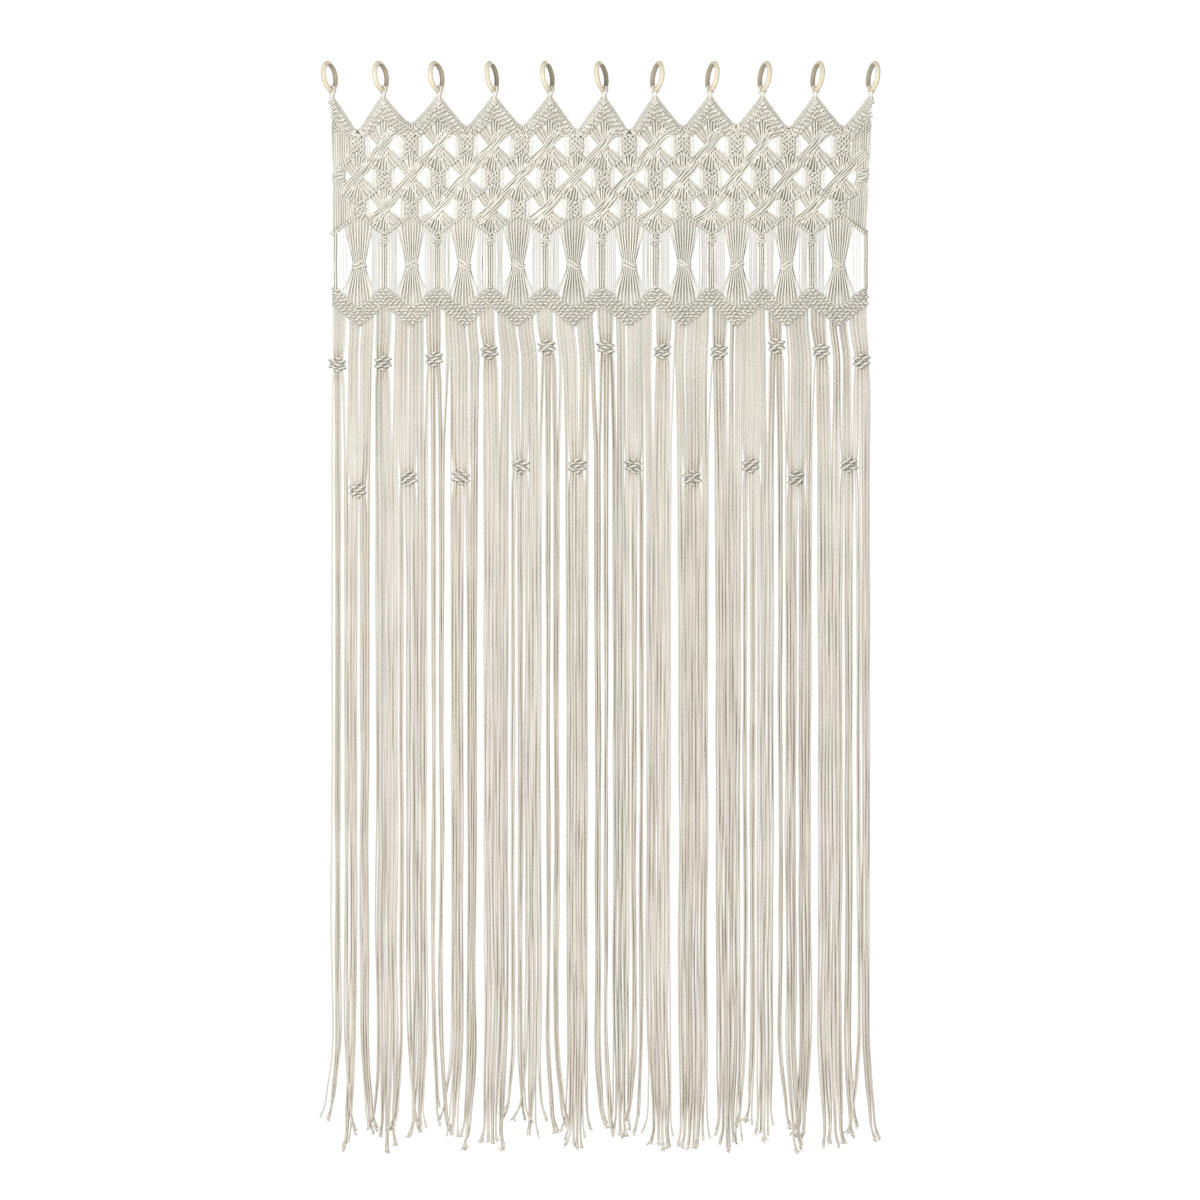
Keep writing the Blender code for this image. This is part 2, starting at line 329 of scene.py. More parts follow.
@dataclass(frozen=True)
class TurnedWood:
    """Pale turned wood, with painted shade on the inner face of the ring."""

    name: str = "turned_wood"
    pale: tuple[int, int, int] = (241, 235, 213)
    grain: tuple[int, int, int] = (224, 207, 168)
    inner_shade: tuple[int, int, int] = (176, 168, 148)

    def material(self) -> bpy.types.Material:
        """Makes the material.

        Returns:
            The rings' material.
        """
        made = bpy.data.materials.new(self.name)
        made.use_nodes = True
        wiring = Wiring(made.node_tree)
        skin = made.node_tree.nodes["Principled BSDF"]
        place = wiring.node("Mapping")
        place.inputs["Scale"].default_value = (260.0, 260.0, 26.0)
        wiring.join(wiring.node("TexCoord").outputs["Object"], place.inputs["Vector"])
        grain = wiring.node("TexNoise")
        grain.inputs["Scale"].default_value = 1.0
        grain.inputs["Detail"].default_value = 4.0
        grain.inputs["Distortion"].default_value = 0.4
        wiring.join(place.outputs[0], grain.inputs["Vector"])
        lines = wiring.ramp(grain.outputs[0], 0.42, 0.72, 0.0, 0.7)
        wood = wiring.blend(lines, linear(*self.pale), linear(*self.grain))
        # Painted shade: the faces that look into the ring's hole take the darker colour.
        inner = wiring.node("Attribute", attribute_name="inner_face")
        wiring.join(wiring.blend(inner.outputs["Fac"], wood, linear(*self.inner_shade)), skin.inputs["Base Color"])
        wiring.join(wiring.ramp(grain.outputs[0], 0.3, 0.7, 0.38, 0.52), skin.inputs["Roughness"])
        bump = wiring.node("Bump")
        bump.inputs["Strength"].default_value = 0.25
        bump.inputs["Distance"].default_value = 0.0002
        wiring.join(grain.outputs[0], bump.inputs["Height"])
        wiring.join(bump.outputs[0], skin.inputs["Normal"])
        return made


# ---------------------------------------------------------------- cord


def unit(vectors: Array) -> Array:
    """Scales vectors, along the last axis, to length 1."""
    return vectors / np.maximum(np.linalg.norm(vectors, axis=-1, keepdims=True), 1e-12)


def through(points: Array, count: int) -> Array:
    """Draws smooth lines through their guide points.

    Args:
        points: (lines, guides, 3), or (guides, 3) for one line.
        count: how many points each line gets.

    Returns:
        (lines, count, 3).
    """
    guide = np.asarray(points, float)
    guide = guide[None] if guide.ndim == 2 else guide
    slope = np.gradient(guide, axis=1)
    place = np.linspace(0, guide.shape[1] - 1, count)
    first = np.minimum(place.astype(int), guide.shape[1] - 2)
    t = (place - first)[None, :, None]
    a, b = guide[:, first], guide[:, first + 1]
    da, db = slope[:, first], slope[:, first + 1]
    return (
        (2 * t**3 - 3 * t**2 + 1) * a
        + (t**3 - 2 * t**2 + t) * da
        + (3 * t**2 - 2 * t**3) * b
        + (t**3 - t**2) * db
    )


def corners(node: bpy.types.Object) -> Array:
    """The corners of a CAD node, as (count, 3)."""
    flat_list = np.empty(3 * len(node.data.vertices))
    node.data.vertices.foreach_get("co", flat_list)
    return flat_list.reshape(-1, 3)


def ramp(z: Array, start: Array | float, length: float) -> Array:
    """Rises smoothly from 0 at the height start to 1 at a length below it."""
    share = np.clip((start - z) / length, 0, 1)
    return share * share * (3 - 2 * share)


class Spool:
    """Winds many lengths of cord into one mesh."""

    def __init__(self, name: str, drape: Callable[[Array], Array] | None = None) -> None:
        """Starts an empty spool.

        Args:
            name: the name of the piece that it becomes.
            drape: moves every path as the curtain hangs, before the cord is wound along it.
        """
        self.name = name
        self.drape = drape
        self.points: list[Array] = []
        self.corners: list[Array] = []
        self.sizes: list[Array] = []
        self.maps: list[Array] = []
        self.tones: list[Array] = []
        self.flats: list[Array] = []
        self.used = 0
        self.length = 0.0

    def wind(
        self,
        paths: Array,
        radius: Array | float = CORD / 2,
        tone: Array | float = 1.0,
        sides: int = 6,
        ends: End = End.BLUNT,
    ) -> None:
        """Adds a tube round each path.

        Args:
            paths: (cords, points, 3), or (points, 3) for one cord.
            radius: one number, or one for each point of each cord.
            tone: how bright each cord is, 1 for plain.
            sides: how many faces go round the cord.
            ends: blunt, or joined into a loop.
        """
        paths = np.asarray(paths, float)
        paths = paths[None] if paths.ndim == 2 else paths
        paths = self.drape(paths) if self.drape else paths
        cords, steps, _ = paths.shape
        loop = ends is End.JOINED
        run = np.roll(paths, -1, 1) - np.roll(paths, 1, 1) if loop else np.gradient(paths, axis=1)
        run = unit(run)
        across_y, across_x = np.array([0.0, 1.0, 0.0]), np.array([1.0, 0.0, 0.0])
        start = np.where(np.abs(run[:, :1, 1:2]) < 0.9, across_y, across_x)[:, 0]
        normal = np.empty_like(paths)
        for step in range(steps):
            start = unit(start - (start * run[:, step]).sum(-1, keepdims=True) * run[:, step])
            normal[:, step] = start
        across = np.cross(run, normal)
        angle = np.arange(sides) * 2 * math.pi / sides
        spread = normal[:, :, None] * np.cos(angle)[:, None] + across[:, :, None] * np.sin(angle)[:, None]
        reach = np.broadcast_to(np.asarray(radius, float), (cords, steps))
        points = paths[:, :, None] + spread * reach[:, :, None, None]
        index = np.arange(cords * steps * sides).reshape(cords, steps, sides) + self.used
        after = np.roll(index, -1, 2)
        if loop:
            near, far = index, np.roll(index, -1, 1)
            near_after, far_after = after, np.roll(after, -1, 1)
        else:
            near, far, near_after, far_after = index[:, :-1], index[:, 1:], after[:, :-1], after[:, 1:]
        quads = np.stack([near, near_after, far_after, far], -1)
        pieces = np.linalg.norm(np.roll(paths, -1, 1) - paths, axis=2)
        along = np.concatenate([np.zeros((cords, 1)), np.cumsum(pieces, 1)], 1)
        rows = quads.shape[1]
        u = np.broadcast_to(np.arange(sides)[None, None] / sides, (cords, rows, sides))
        low = np.broadcast_to(along[:, :rows, None], u.shape)
        high = np.broadcast_to(along[:, 1 : rows + 1, None], u.shape)
        grid = np.stack(
            [
                np.stack([u, low], -1),
                np.stack([u + 1 / sides, low], -1),
                np.stack([u + 1 / sides, high], -1),
                np.stack([u, high], -1),
            ],
            3,
        )
        self.points.append(points.reshape(-1, 3))
        self.corners.append(quads.reshape(-1))
        self.sizes.append(np.full(cords * rows * sides, 4))
        self.flats.append(np.zeros(cords * rows * sides, bool))
        self.maps.append(grid.reshape(-1, 2))
        self.tones.append(np.repeat(np.broadcast_to(np.asarray(tone, float), (cords,)), steps * sides))
        if not loop:
            for cap in (index[:, 0, ::-1], index[:, -1]):
                self.corners.append(cap.reshape(-1))
                self.sizes.append(np.full(cords, sides))
                self.flats.append(np.ones(cords, bool))
                self.maps.append(np.zeros((cords * sides, 2)))
        self.used += points.size // 3
        self.length += float(along[:, rows].sum())

    def make(self, material: bpy.types.Material) -> bpy.types.Object:
        """Turns what is on the spool into a piece.

        Args:
            material: the cord's material.

        Returns:
            The piece, at the origin.
        """
        mesh = bpy.data.meshes.new(self.name)
        points, turns, sizes = (np.concatenate(part) for part in (self.points, self.corners, self.sizes))
        mesh.vertices.add(len(points))
        mesh.vertices.foreach_set("co", points.ravel())
        mesh.loops.add(len(turns))
        mesh.loops.foreach_set("vertex_index", turns.astype(np.int32))
        mesh.polygons.add(len(sizes))
        starts = np.concatenate([[0], np.cumsum(sizes)[:-1]])
        mesh.polygons.foreach_set("loop_start", starts.astype(np.int32))
        mesh.polygons.foreach_set("use_smooth", ~np.concatenate(self.flats))
        mesh.uv_layers.new(name="cord").data.foreach_set("uv", np.concatenate(self.maps).ravel())
        mesh.attributes.new("tone", "FLOAT", "POINT").data.foreach_set("value", np.concatenate(self.tones))
        mesh.update(calc_edges=True)
        mesh.validate()
        mesh.materials.append(material)
        piece = bpy.data.objects.new(self.name, mesh)
        bpy.context.scene.collection.objects.link(piece)
        LOG.info("%s: %.1f m of cord, %d faces", self.name, self.length, len(sizes))
        return piece


# ---------------------------------------------------------------- knots


def flat(points: object, depth: Array | float = 0.0) -> Array:
    """Stands points given as (x, z) up in the curtain's plane.

    Args:
        points: (..., 2).
        depth: y of each, or of all.

    Returns:
        (..., 3).
    """
    points = np.asarray(points, float)
    return np.stack([points[..., 0], np.broadcast_to(depth, points.shape[:-1]), points[..., 1]], -1)


@dataclass
class Knots:
    """The hitches and knots that the whole curtain is tied from."""

    dice: np.random.Generator
    cord: float = CORD

    def tones(self, count: int, spread: float = 0.035) -> Array:
        """Picks how bright each of some cords is.

        Args:
            count: how many cords.
            spread: how far they differ.

        Returns:
            One number for each, near 1.
        """
        return np.clip(self.dice.normal(1.0, spread, count), 0.88, 1.08)

    def hitches(
        self,
        spool: Spool,
        places: Array,
        angles: Array,
        half: float = 0.0042,
        depth: float = 0.0028,
        thick: float = 0.80,
        steps: int = 10,
        sides: int = 5,
        loose: float = 1.0,
    ) -> None:
        """Ties half hitches: each is one turn of cord, seen in front and behind as a slanted bead.

        Args:
            spool: where the cord goes.
            places: (count, 2), the middle of each, as (x, z).
            angles: the slant of each in front, radians above +X.
            half: half the length of the turn.
            depth: how far it stands out in front and behind.
            thick: its thickness as a share of the cord's.
            steps, sides: how finely it is made.
            loose: how unevenly they are drawn up, 1 for neat work.
        """
        places = np.asarray(places, float)
        count = len(places)
        if not count:
            return
        angles = np.broadcast_to(angles, (count,)) + self.dice.normal(0, 0.09 * loose, count)
        turn = np.linspace(0, 2 * math.pi, steps, endpoint=False)
        reach = half * self.dice.uniform(0.9, 1.1, count)[:, None] * np.cos(turn)
        out = -depth * self.dice.uniform(0.85, 1.15, count)[:, None] * np.sin(turn)
        lean = 0.16 * half * np.sin(2 * turn) * np.where(angles < 0, -1, 1)[:, None]
        x = places[:, :1] + reach * np.cos(angles)[:, None] - lean * np.sin(angles)[:, None]
        z = places[:, 1:] + reach * np.sin(angles)[:, None] + lean * np.cos(angles)[:, None]
        x = x + self.dice.normal(0, 0.0003 * loose, (count, 1))
        z = z + self.dice.normal(0, 0.0003 * loose, (count, 1))
        spool.wind(np.stack([x, out, z], -1), self.cord / 2 * thick, self.tones(count), sides, End.JOINED)

    def carriers(
        self,
        spool: Spool,
        x: Array,
        top: Array,
        foot: Array,
        tone: float = 0.89,
        radius: float = 0.0019,
        depth: float = 0.0012,
    ) -> None:
        """Lays the upright cords that hitches are tied round; they show only between the beads, darkened
        there as painted shade.

        Args:
            spool: where the cord goes.
            x: where each one is.
            top, foot: z of its ends.
            tone: how bright they are; below 1 as painted shade.
            radius: half their thickness.
            depth: how far they lie behind the middle of the net.
        """
        x, top, foot = (np.asarray(part, float) for part in (x, top, foot))
        keep = top - foot > 0.003
        if keep.any():
            ends = np.linspace(0, 1, 4)
            z = top[keep, None] + (foot - top)[keep, None] * ends
            spool.wind(
                np.stack([np.repeat(x[keep, None], 4, 1), np.full_like(z, depth), z], -1),
                radius,
                self.tones(int(keep.sum()), 0.03) * tone,
                5,
            )

    def square_knot(
        self,
        spool: Spool,
        place: tuple[float, float],
        half_wide: float,
        half_tall: float,
        slant: float = 0.0,
        depth: float = 0.0042,
        thick: float = 1.0,
        hand: Side = Side.RIGHT,
        sides: int = 6,
        steps: int = 15,
    ) -> None:
        """Ties a square knot of two working cords round whatever hangs behind it.

        Args:
            spool: where the cord goes.
            place: the knot's middle, as (x, z).
            half_wide, half_tall: half its width and height.
            slant: how much higher the strands are at the right than at the left, as a share of half_tall.
            depth: how far the strands stand out.
            thick: the strands' thickness as a share of the cord's.
            hand: the side that the first strand turns back at.
            sides, steps: how finely it is made.
        """
        w, h, d = half_wide, half_tall, depth
        over = [
            (-0.62, 0.5, 1.25),
            (-0.98, -0.35, 0.86),
            (-0.45, -1.0, 0.60),
            (0.35, -1.0, 0.36),
            (0.96, -0.45, 0.24),
            (1.10, 0.25, 0.0),
            (0.96, -0.45, -0.22),
            (0.35, -1.0, -0.38),
            (-0.45, -1.0, -0.56),
            (-0.95, -0.3, -0.78),
            (-0.66, 0.6, -1.22),
        ]
        under = [
            (0.62, 0.5, 1.22),
            (0.90, 0.7, 0.80),
            (0.35, 1.0, 0.55),
            (-0.45, 1.0, 0.32),
            (-0.98, 0.2, 0.24),
            (-1.10, -0.55, 0.0),
            (-0.98, 0.2, -0.24),
            (-0.45, 1.0, -0.36),
            (0.35, 1.0, -0.58),
            (0.90, 0.6, -0.80),
            (0.62, 0.5, -1.25),
        ]
        guides = np.array([over, under])
        guides[..., 2] += slant * guides[..., 0]
        guides[..., 0] *= hand.value
        guides = guides * (w, d, h) + (place[0], 0.0, place[1])
        guides += self.dice.normal(0, 0.00025, guides.shape)
        spool.wind(through(guides, steps), self.cord / 2 * thick, self.tones(2), sides)


# ---------------------------------------------------------------- the net's plan


@dataclass(frozen=True)
class NetPlan:
    """Where the net's peaks, valleys and rows are, metres in the frame of the curtain.

    Attributes:
        middles: x of each peak; the net is tied by hand, so they are not quite evenly spaced.
        valleys: z of the outline in each valley.
        pitch: the plain distance from one peak to the next, for which offsets are given.
        drift, drift_wave: how much further along x the net hangs at its foot than at its top: a plain
            shift, and the height of a slow wave.
        drift_start, drift_length: where a crest of that wave is, and how long the wave is.
        cross_z: height of the three rows of crossings.
        line_tips, line_tops: z of the zigzag line of hitches under each row, where it dips and rises.
        peak_top, valley_top: the upper outline.
        band_top, band_foot: the zigzag band at a peak.
        band_drop: how much lower the band is at a valley.
        tie_z: where the bundles are tied.
        outline: how far from a peak the corners of the upper outline are.
        fan_top, fan_fall: z of the line that the first fans hang from, at a peak, and how steeply it falls.
    """

    middles: tuple[float, ...]
    valleys: tuple[float, ...]
    pitch: float = 0.100
    drift: float = -0.0025
    drift_wave: float = 0.0055
    drift_start: float = -0.43
    drift_length: float = 0.60
    cross_z: tuple[float, float, float] = (-0.1450, -0.2025, -0.2620)
    line_tips: tuple[float, float, float] = (-0.1985, -0.2535, -0.3085)
    line_tops: tuple[float, float, float] = (-0.1590, -0.2175, -0.2725)
    peak_top: float = -0.0495
    valley_top: float = -0.1105
    band_top: float = -0.4035
    band_foot: float = -0.4400
    band_drop: float = 0.0385
    tie_z: float = -0.3650
    outline: tuple[float, ...] = (0.0, 0.003, 0.024, 0.044, 0.050)
    fan_top: float = -0.0975
    fan_fall: float = 0.92

    @classmethod
    def from_frame(cls, middles: tuple[float, ...], points: Array) -> NetPlan:
        """Reads the outline off the plain net.

        Args:
            middles: x of each peak.
            points: the plain net's corners.

        Returns:
            The plan.
        """
        edge = points[(points[:, 2] > -0.13) & (points[:, 2] < -0.09)]
        between = [(left + right) / 2 for left, right in zip(middles, middles[1:])]
        return cls(middles, tuple(float(edge[np.abs(edge[:, 0] - x) < 0.006, 2].max()) for x in between))

    @property
    def peaks(self) -> int:
        """How many peaks there are."""
        return len(self.middles)

    def peak(self, index: float) -> float:
        """X of a peak; a half means the valley to its right."""
        return float(np.interp(index, np.arange(self.peaks), self.middles))

    def repeat(self, x: Array) -> Array:
        """Which repeat x is in: a whole number at a peak, and a half at a valley."""
        x = np.asarray(x, float)
        inside = np.interp(x, self.middles, np.arange(self.peaks))
        return (
            inside
            + np.minimum(x - self.middles[0], 0) / self.pitch
            + np.maximum(x - self.middles[-1], 0) / self.pitch
        )

    def offset(self, x: Array) -> Array:
        """How far x is from the nearest peak, from 0 to half a plain pitch."""
        part = np.mod(self.repeat(x), 1.0)
        return np.minimum(part, 1 - part) * self.pitch

    def drape(self, paths: Array) -> Array:
        """Moves cords as the hung net draws in towards its foot; the fringe hangs true again lower down.

        Args:
            paths: (..., 3).

        Returns:
            The same points, moved along x.
        """
        x, z = paths[..., 0], paths[..., 2]
        wave = np.cos(2 * math.pi * (x - self.drift_start) / self.drift_length)
        moved = paths.copy()
        shift = (self.drift + self.drift_wave * wave) * ramp(z, -0.10, 0.23)
        moved[..., 0] += shift * (1 - ramp(z, -0.465, 0.08))
        return moved

    def top(self, x: Array) -> Array:
        """Z of the upper outline at x."""
        away = self.offset(x)
        high, low = self.peak_top, self.valley_top
        heights = (high - 0.0035, high - 0.0055, -0.0832, low + 0.0010, low - 0.0020)
        plain = np.interp(away, self.outline, heights)
        valley = np.clip(np.floor(self.repeat(x)).astype(int), 0, self.peaks - 2)
        return plain + (np.take(self.valleys, valley) - self.valley_top) * (2 * away / self.pitch) ** 2

    def fan_line(self, x: Array) -> Array:
        """Z of the line that the first row's fans hang from."""
        return self.fan_top - self.fan_fall * self.offset(x)

    def line(self, row: int, x: Array) -> Array:
        """Z of the line of hitches under a row of crossings; it dips to a tip under each of them."""
        share = 2 * self.offset(x) / self.pitch
        share = 1 - share if row == 1 else share
        return self.line_tips[row] + (self.line_tops[row] - self.line_tips[row]) * share

    def zigzag(self, x: Array, share: Array) -> Array:
        """Z in the zigzag band, with share 0 at its top and 1 at its foot."""
        slope = np.clip(self.offset(x) / (self.pitch / 2), 0, 1)
        top = self.band_top - self.band_drop * slope
        foot = self.band_foot - self.band_drop * 1.05 * slope
        return top + (foot - top) * share


# ---------------------------------------------------------------- rings


@dataclass
class WoodenRings:
    """The turned rings that carry the curtain.

    Attributes:
        boxes: the lowest and highest corner of each plain ring, from the left.
        outer: outside diameter.
        band: thickness of the ring's band.
        lean: how far a ring leans to the side, degrees.
        turn, further: how far a ring is turned from edge-on, degrees, and how far the first few are.
        turned_further: how many, from the left, those are.
        leaning_left: how many, from the left, lean that way.
    """

    boxes: list[tuple[Vector, Vector]]
    finish: TurnedWood = TurnedWood()
    outer: float = 0.058
    band: float = 0.0095
    lean: float = 10.0
    turn: float = 20.0
    further: float = 26.0
    turned_further: int = 3
    leaning_left: int = 6

    def pose(self, index: int) -> Matrix:
        """The place of one ring.

        Args:
            index: which ring, from the left.

        Returns:
            The matrix that takes a ring flat on the XY plane there.
        """
        side = -1 if index < self.leaning_left else 1
        turn = self.further if index < self.turned_further else self.turn
        leaning = Matrix.Rotation(math.radians(side * self.lean), 4, "Y")
        spin = leaning @ Matrix.Rotation(math.radians(side * turn), 4, "Z")
        low, high = self.boxes[index]
        return Matrix.Translation((low + high) / 2) @ spin @ Matrix.Rotation(math.pi / 2, 4, "Y")

    def foot(self, index: int) -> tuple[Vector, Vector, Vector, Vector]:
        """The lowest place on a ring, where the curtain hangs.

        Args:
            index: which ring.

        Returns:
            The band's middle there, then the directions along the band, up into the ring and out of its side.
        """
        pose = self.pose(index)
        turned = pose.to_3x3()
        up = -(turned @ Vector((1, 0, 0)))
        if up.z < 0:
            up = -up
        centre = pose.to_translation()
        side = turned @ Vector((0, 0, 1))
        return centre - up * (self.outer - self.band) / 2, up.cross(side).normalized(), up, side

    def middles(self) -> tuple[float, ...]:
        """X of the peak that hangs from each ring."""
        return tuple(self.foot(index)[0].x for index in range(len(self.boxes)))

    def ring(self, index: int) -> bpy.types.Object:
        """Models one ring from a torus, with its bore flattened and its flanks eased, as turning leaves them.

        Args:
            index: which ring.

        Returns:
            The ring.
        """
        bpy.ops.object.select_all(action="DESELECT")
        middle, small = self.outer / 2 - self.band / 2, self.band / 2
        bpy.ops.mesh.primitive_torus_add(
            major_segments=44, minor_segments=12, major_radius=middle, minor_radius=small * 1.045
        )
        ring = bpy.context.active_object
        ring.name = ring.data.name = f"wooden_ring_{index + 1:02d}"
        bpy.ops.object.mode_set(mode="EDIT")
        bpy.ops.mesh.select_all(action="DESELECT")
        bpy.ops.object.mode_set(mode="OBJECT")
        for vertex in ring.data.vertices:
            vertex.select = math.hypot(vertex.co.x, vertex.co.y) < middle - 0.6 * small
        bpy.ops.object.mode_set(mode="EDIT")
        bpy.ops.transform.resize(value=(1.012, 1.012, 1.12))
        bpy.ops.mesh.select_all(action="INVERT")
        bpy.ops.transform.resize(value=(1.0, 1.0, 0.985))
        bpy.ops.mesh.select_all(action="SELECT")
        bpy.ops.mesh.normals_make_consistent(inside=False)
        bpy.ops.object.mode_set(mode="OBJECT")
        smooth = ring.modifiers.new("turned", "SUBSURF")
        smooth.levels = smooth.render_levels = 1
        bpy.ops.object.modifier_apply(modifier=smooth.name)
        bpy.ops.object.shade_smooth()
        self.mark_inner_face(ring.data)
        ring.data.transform(self.pose(index))
        ring.data.materials.append(bpy.data.materials.get(self.finish.name) or self.finish.material())
        return ring

    def mark_inner_face(self, mesh: bpy.types.Mesh) -> None:
        """Marks how far each place faces into the ring's hole, for the painted shade there."""
        values = []
        for vertex in mesh.vertices:
            flat_way = Vector((vertex.co.x, vertex.co.y, 0)).normalized()
            facing = -vertex.normal.dot(flat_way)
            share = min(max((facing + 0.05) / 0.5, 0.0), 1.0)
            values.append(share * share * (3 - 2 * share))
        mesh.attributes.new("inner_face", "FLOAT", "POINT").data.foreach_set("value", values)

    def build(self) -> None:
        """Makes the rings and puts them in place of the plain ones."""
        for index in range(len(self.boxes)):
            ring = self.ring(index)
            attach(ring, "root")
            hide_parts(f"ring_{index + 1:02d}")
        LOG.info("wooden rings: %d", len(self.boxes))


# ---------------------------------------------------------------- heading


@dataclass
class Heading:
    """The peaks: hanging loops on the rings, mounting loops along the edges, and half hitches below them.

    Attributes:
        loop_pitch: from one mounting loop to the next along the edge.
        loop_reach: how far a mounting loop reaches into the net.
        hitch_drop: from one row of hitches to the next.
        hitch_step: from one hitch to the next in a row.
        under_edge: how far below the outline the first row is.
        most_rows, most_steps: at least as many rows, and hitches in a row, as half a peak can hold.
        cluster_top: z above which hitches fill the net at a valley.
    """

    plan: NetPlan
    knots: Knots
    rings: WoodenRings
    loop_pitch: float = 0.0040
    loop_reach: float = 0.0090
    hitch_drop: float = 0.0043
    hitch_step: float = 0.0054
    under_edge: float = 0.0155
    most_rows: int = 14
    most_steps: int = 10
    cluster_top: float = -0.1290

    def hanging_loops(self, spool: Spool) -> None:
        """Wraps three turns of cord round the foot of every ring, and brings their ends into the peak."""
        for index in range(self.plan.peaks):
            foot, along, up, side = (np.array(part) for part in self.rings.foot(index))
            gap = self.rings.band / 2 + 0.0016
            peak = np.array([self.plan.peak(index), 0.0, self.plan.peak_top - 0.013])
            for turn in (-1, 0, 1):
                middle = foot + along * turn * 0.0031
                hook = [
                    middle + side * gap * math.cos(a) + up * gap * math.sin(a)
                    for a in np.radians((200, 150, 90, 30, -20))
                ]
                legs = [
                    peak + (-0.0044 - 0.0016 * turn, 0.0016 * turn, -0.006),
                    peak + (-0.0017 - 0.0006 * turn, 0.0022 * turn, 0.005),
                ]
                back = [
                    peak + (0.0017 + 0.0006 * turn, 0.0022 * turn, 0.005),
                    peak + (0.0044 + 0.0016 * turn, 0.0016 * turn, -0.006),
                ]
                if hook[0][0] > hook[-1][0]:
                    hook.reverse()
                spool.wind(through(np.array(legs + hook + back), 26), 0.0014, self.knots.tones(1), 6)

    def edge_points(
        self, side: Side, index: int, start: float, end: float, inset: float, step: float
    ) -> tuple[Array, Array, Array]:
        """Steps along one edge of a peak.

        Args:
            side: which edge.
            index: which peak.
            start, end: how far from the peak's middle the steps begin and stop.
            inset: how far inside the outline they are.
            step: the distance between them.

        Returns:
            The points as (x, z), the direction along the edge, and the direction into the net.
        """
        fine = np.linspace(start, end, 400)
        x = self.plan.peak(index) + side.value * fine
        line = np.stack([x, self.plan.top(x)], -1)
        run = np.concatenate([[0], np.cumsum(np.linalg.norm(np.diff(line, axis=0), axis=1))])
        stops = np.arange(step / 2, run[-1], step)
        place = np.stack([np.interp(stops, run, line[:, 0]), np.interp(stops, run, line[:, 1])], -1)
        way = unit(np.stack([np.interp(stops, run, np.gradient(line[:, part])) for part in (0, 1)], -1))
        inward = np.stack([way[:, 1], -way[:, 0]], -1) * side.value
        return place + inward * inset, way, inward

    def halves(self) -> list[tuple[int, Side]]:
        """Every half peak that there is: the outermost two have only their inner half."""
        missing = ((0, Side.LEFT), (self.plan.peaks - 1, Side.RIGHT))
        return [(i, side) for i in range(self.plan.peaks) for side in Side if (i, side) not in missing]

    def mounting_loops(self, spool: Spool) -> None:
        """Mounts each working cord on the holding cord with a loop that stands square to the edge."""
        profile = np.array(
            [
                (1.10, 0.5, 0.0016),
                (0.50, 0.5, 0.0022),
                (0.0, 0.42, 0.0022),
                (-0.26, 0.2, 0.0),
                (-0.04, 0.0, -0.0026),
                (0.40, 0.0, -0.0032),
                (0.85, 0.0, -0.0028),
                (1.12, 0.0, -0.0004),
            ]
        )
        for index, side in self.halves():
            place, way, inward = self.edge_points(side, index, 0.0040, 0.0515, 0.0040, self.loop_pitch)
            uneven = self.knots.dice.uniform(0.93, 1.07, len(place))[:, None, None]
            sink = profile[None, :, :1] * self.loop_reach * uneven
            along = way[:, None] * profile[None, :, 1:2] * self.loop_pitch
            guides = place[:, None] + inward[:, None] * sink + along
            depth = np.broadcast_to(profile[:, 2], guides.shape[:2])
            tones = self.knots.tones(len(place), 0.05) + 0.03
            spool.wind(through(flat(guides, depth), 12), 0.00128, tones, 5)
            # A thin holding cord along the edge, and behind the loops three darker cords as painted shade.
            for inset, thick, tone, back in (
                (0.0001, 0.0008, 1.03, 0.0),
                (0.0036, 0.0020, 0.87, 0.0012),
                (0.0074, 0.0020, 0.88, 0.0012),
                (0.0112, 0.0020, 0.89, 0.0012),
            ):
                line, _, _ = self.edge_points(side, index, 0.002 + inset * 0.6, 0.0500, inset, 0.005)
                spool.wind(flat(line, back), thick, tone, 5)

    def foot_of_hitches(self, x: Array) -> Array:
        """Z down to which the hitches of a peak reach: its fan, and at a valley the top of the cluster."""
        away = self.plan.offset(x)
        return np.where(away > 0.033, self.cluster_top, self.plan.fan_line(x) + 0.0005)

    def hitch_rows(self, spool: Spool) -> None:
        """Fills each peak, between its mounting loops and its fan, with rows of half hitches."""
        places, angles = [], []
        for index, side in self.halves():
            for row, step in np.ndindex(self.most_rows, self.most_steps):
                away = (step + 0.5 * (row % 2) + 0.15) * self.hitch_step
                x = self.plan.peak(index) + side.value * away
                outside = not self.plan.middles[0] < x < self.plan.middles[-1]
                if outside or away > self.plan.pitch / 2 + 0.001:
                    continue
                first = float(self.plan.top(x)) - self.under_edge + 0.0040 * (away / 0.05)
                z = first - row * self.hitch_drop
                if z < float(self.foot_of_hitches(x)):
                    continue
                places.append((x, z))
                angles.append(math.radians(42 if side is Side.LEFT else 6))
        self.knots.hitches(
            spool,
            np.array(places),
            np.array(angles),
            half=0.0026,
            depth=0.0032,
            thick=0.94,
            steps=8,
            loose=2.4,
        )
        x = np.arange(self.plan.middles[0] + 0.002, self.plan.middles[-1] - 0.001, 0.0033)
        self.knots.carriers(spool, x, self.plan.top(x) - 0.0075, self.foot_of_hitches(x) - 0.004)

    def build(self, spool: Spool) -> None:
        """Ties the whole heading onto a spool."""
        self.hanging_loops(spool)
        self.mounting_loops(spool)
        self.hitch_rows(spool)


# ---------------------------------------------------------------- lattice


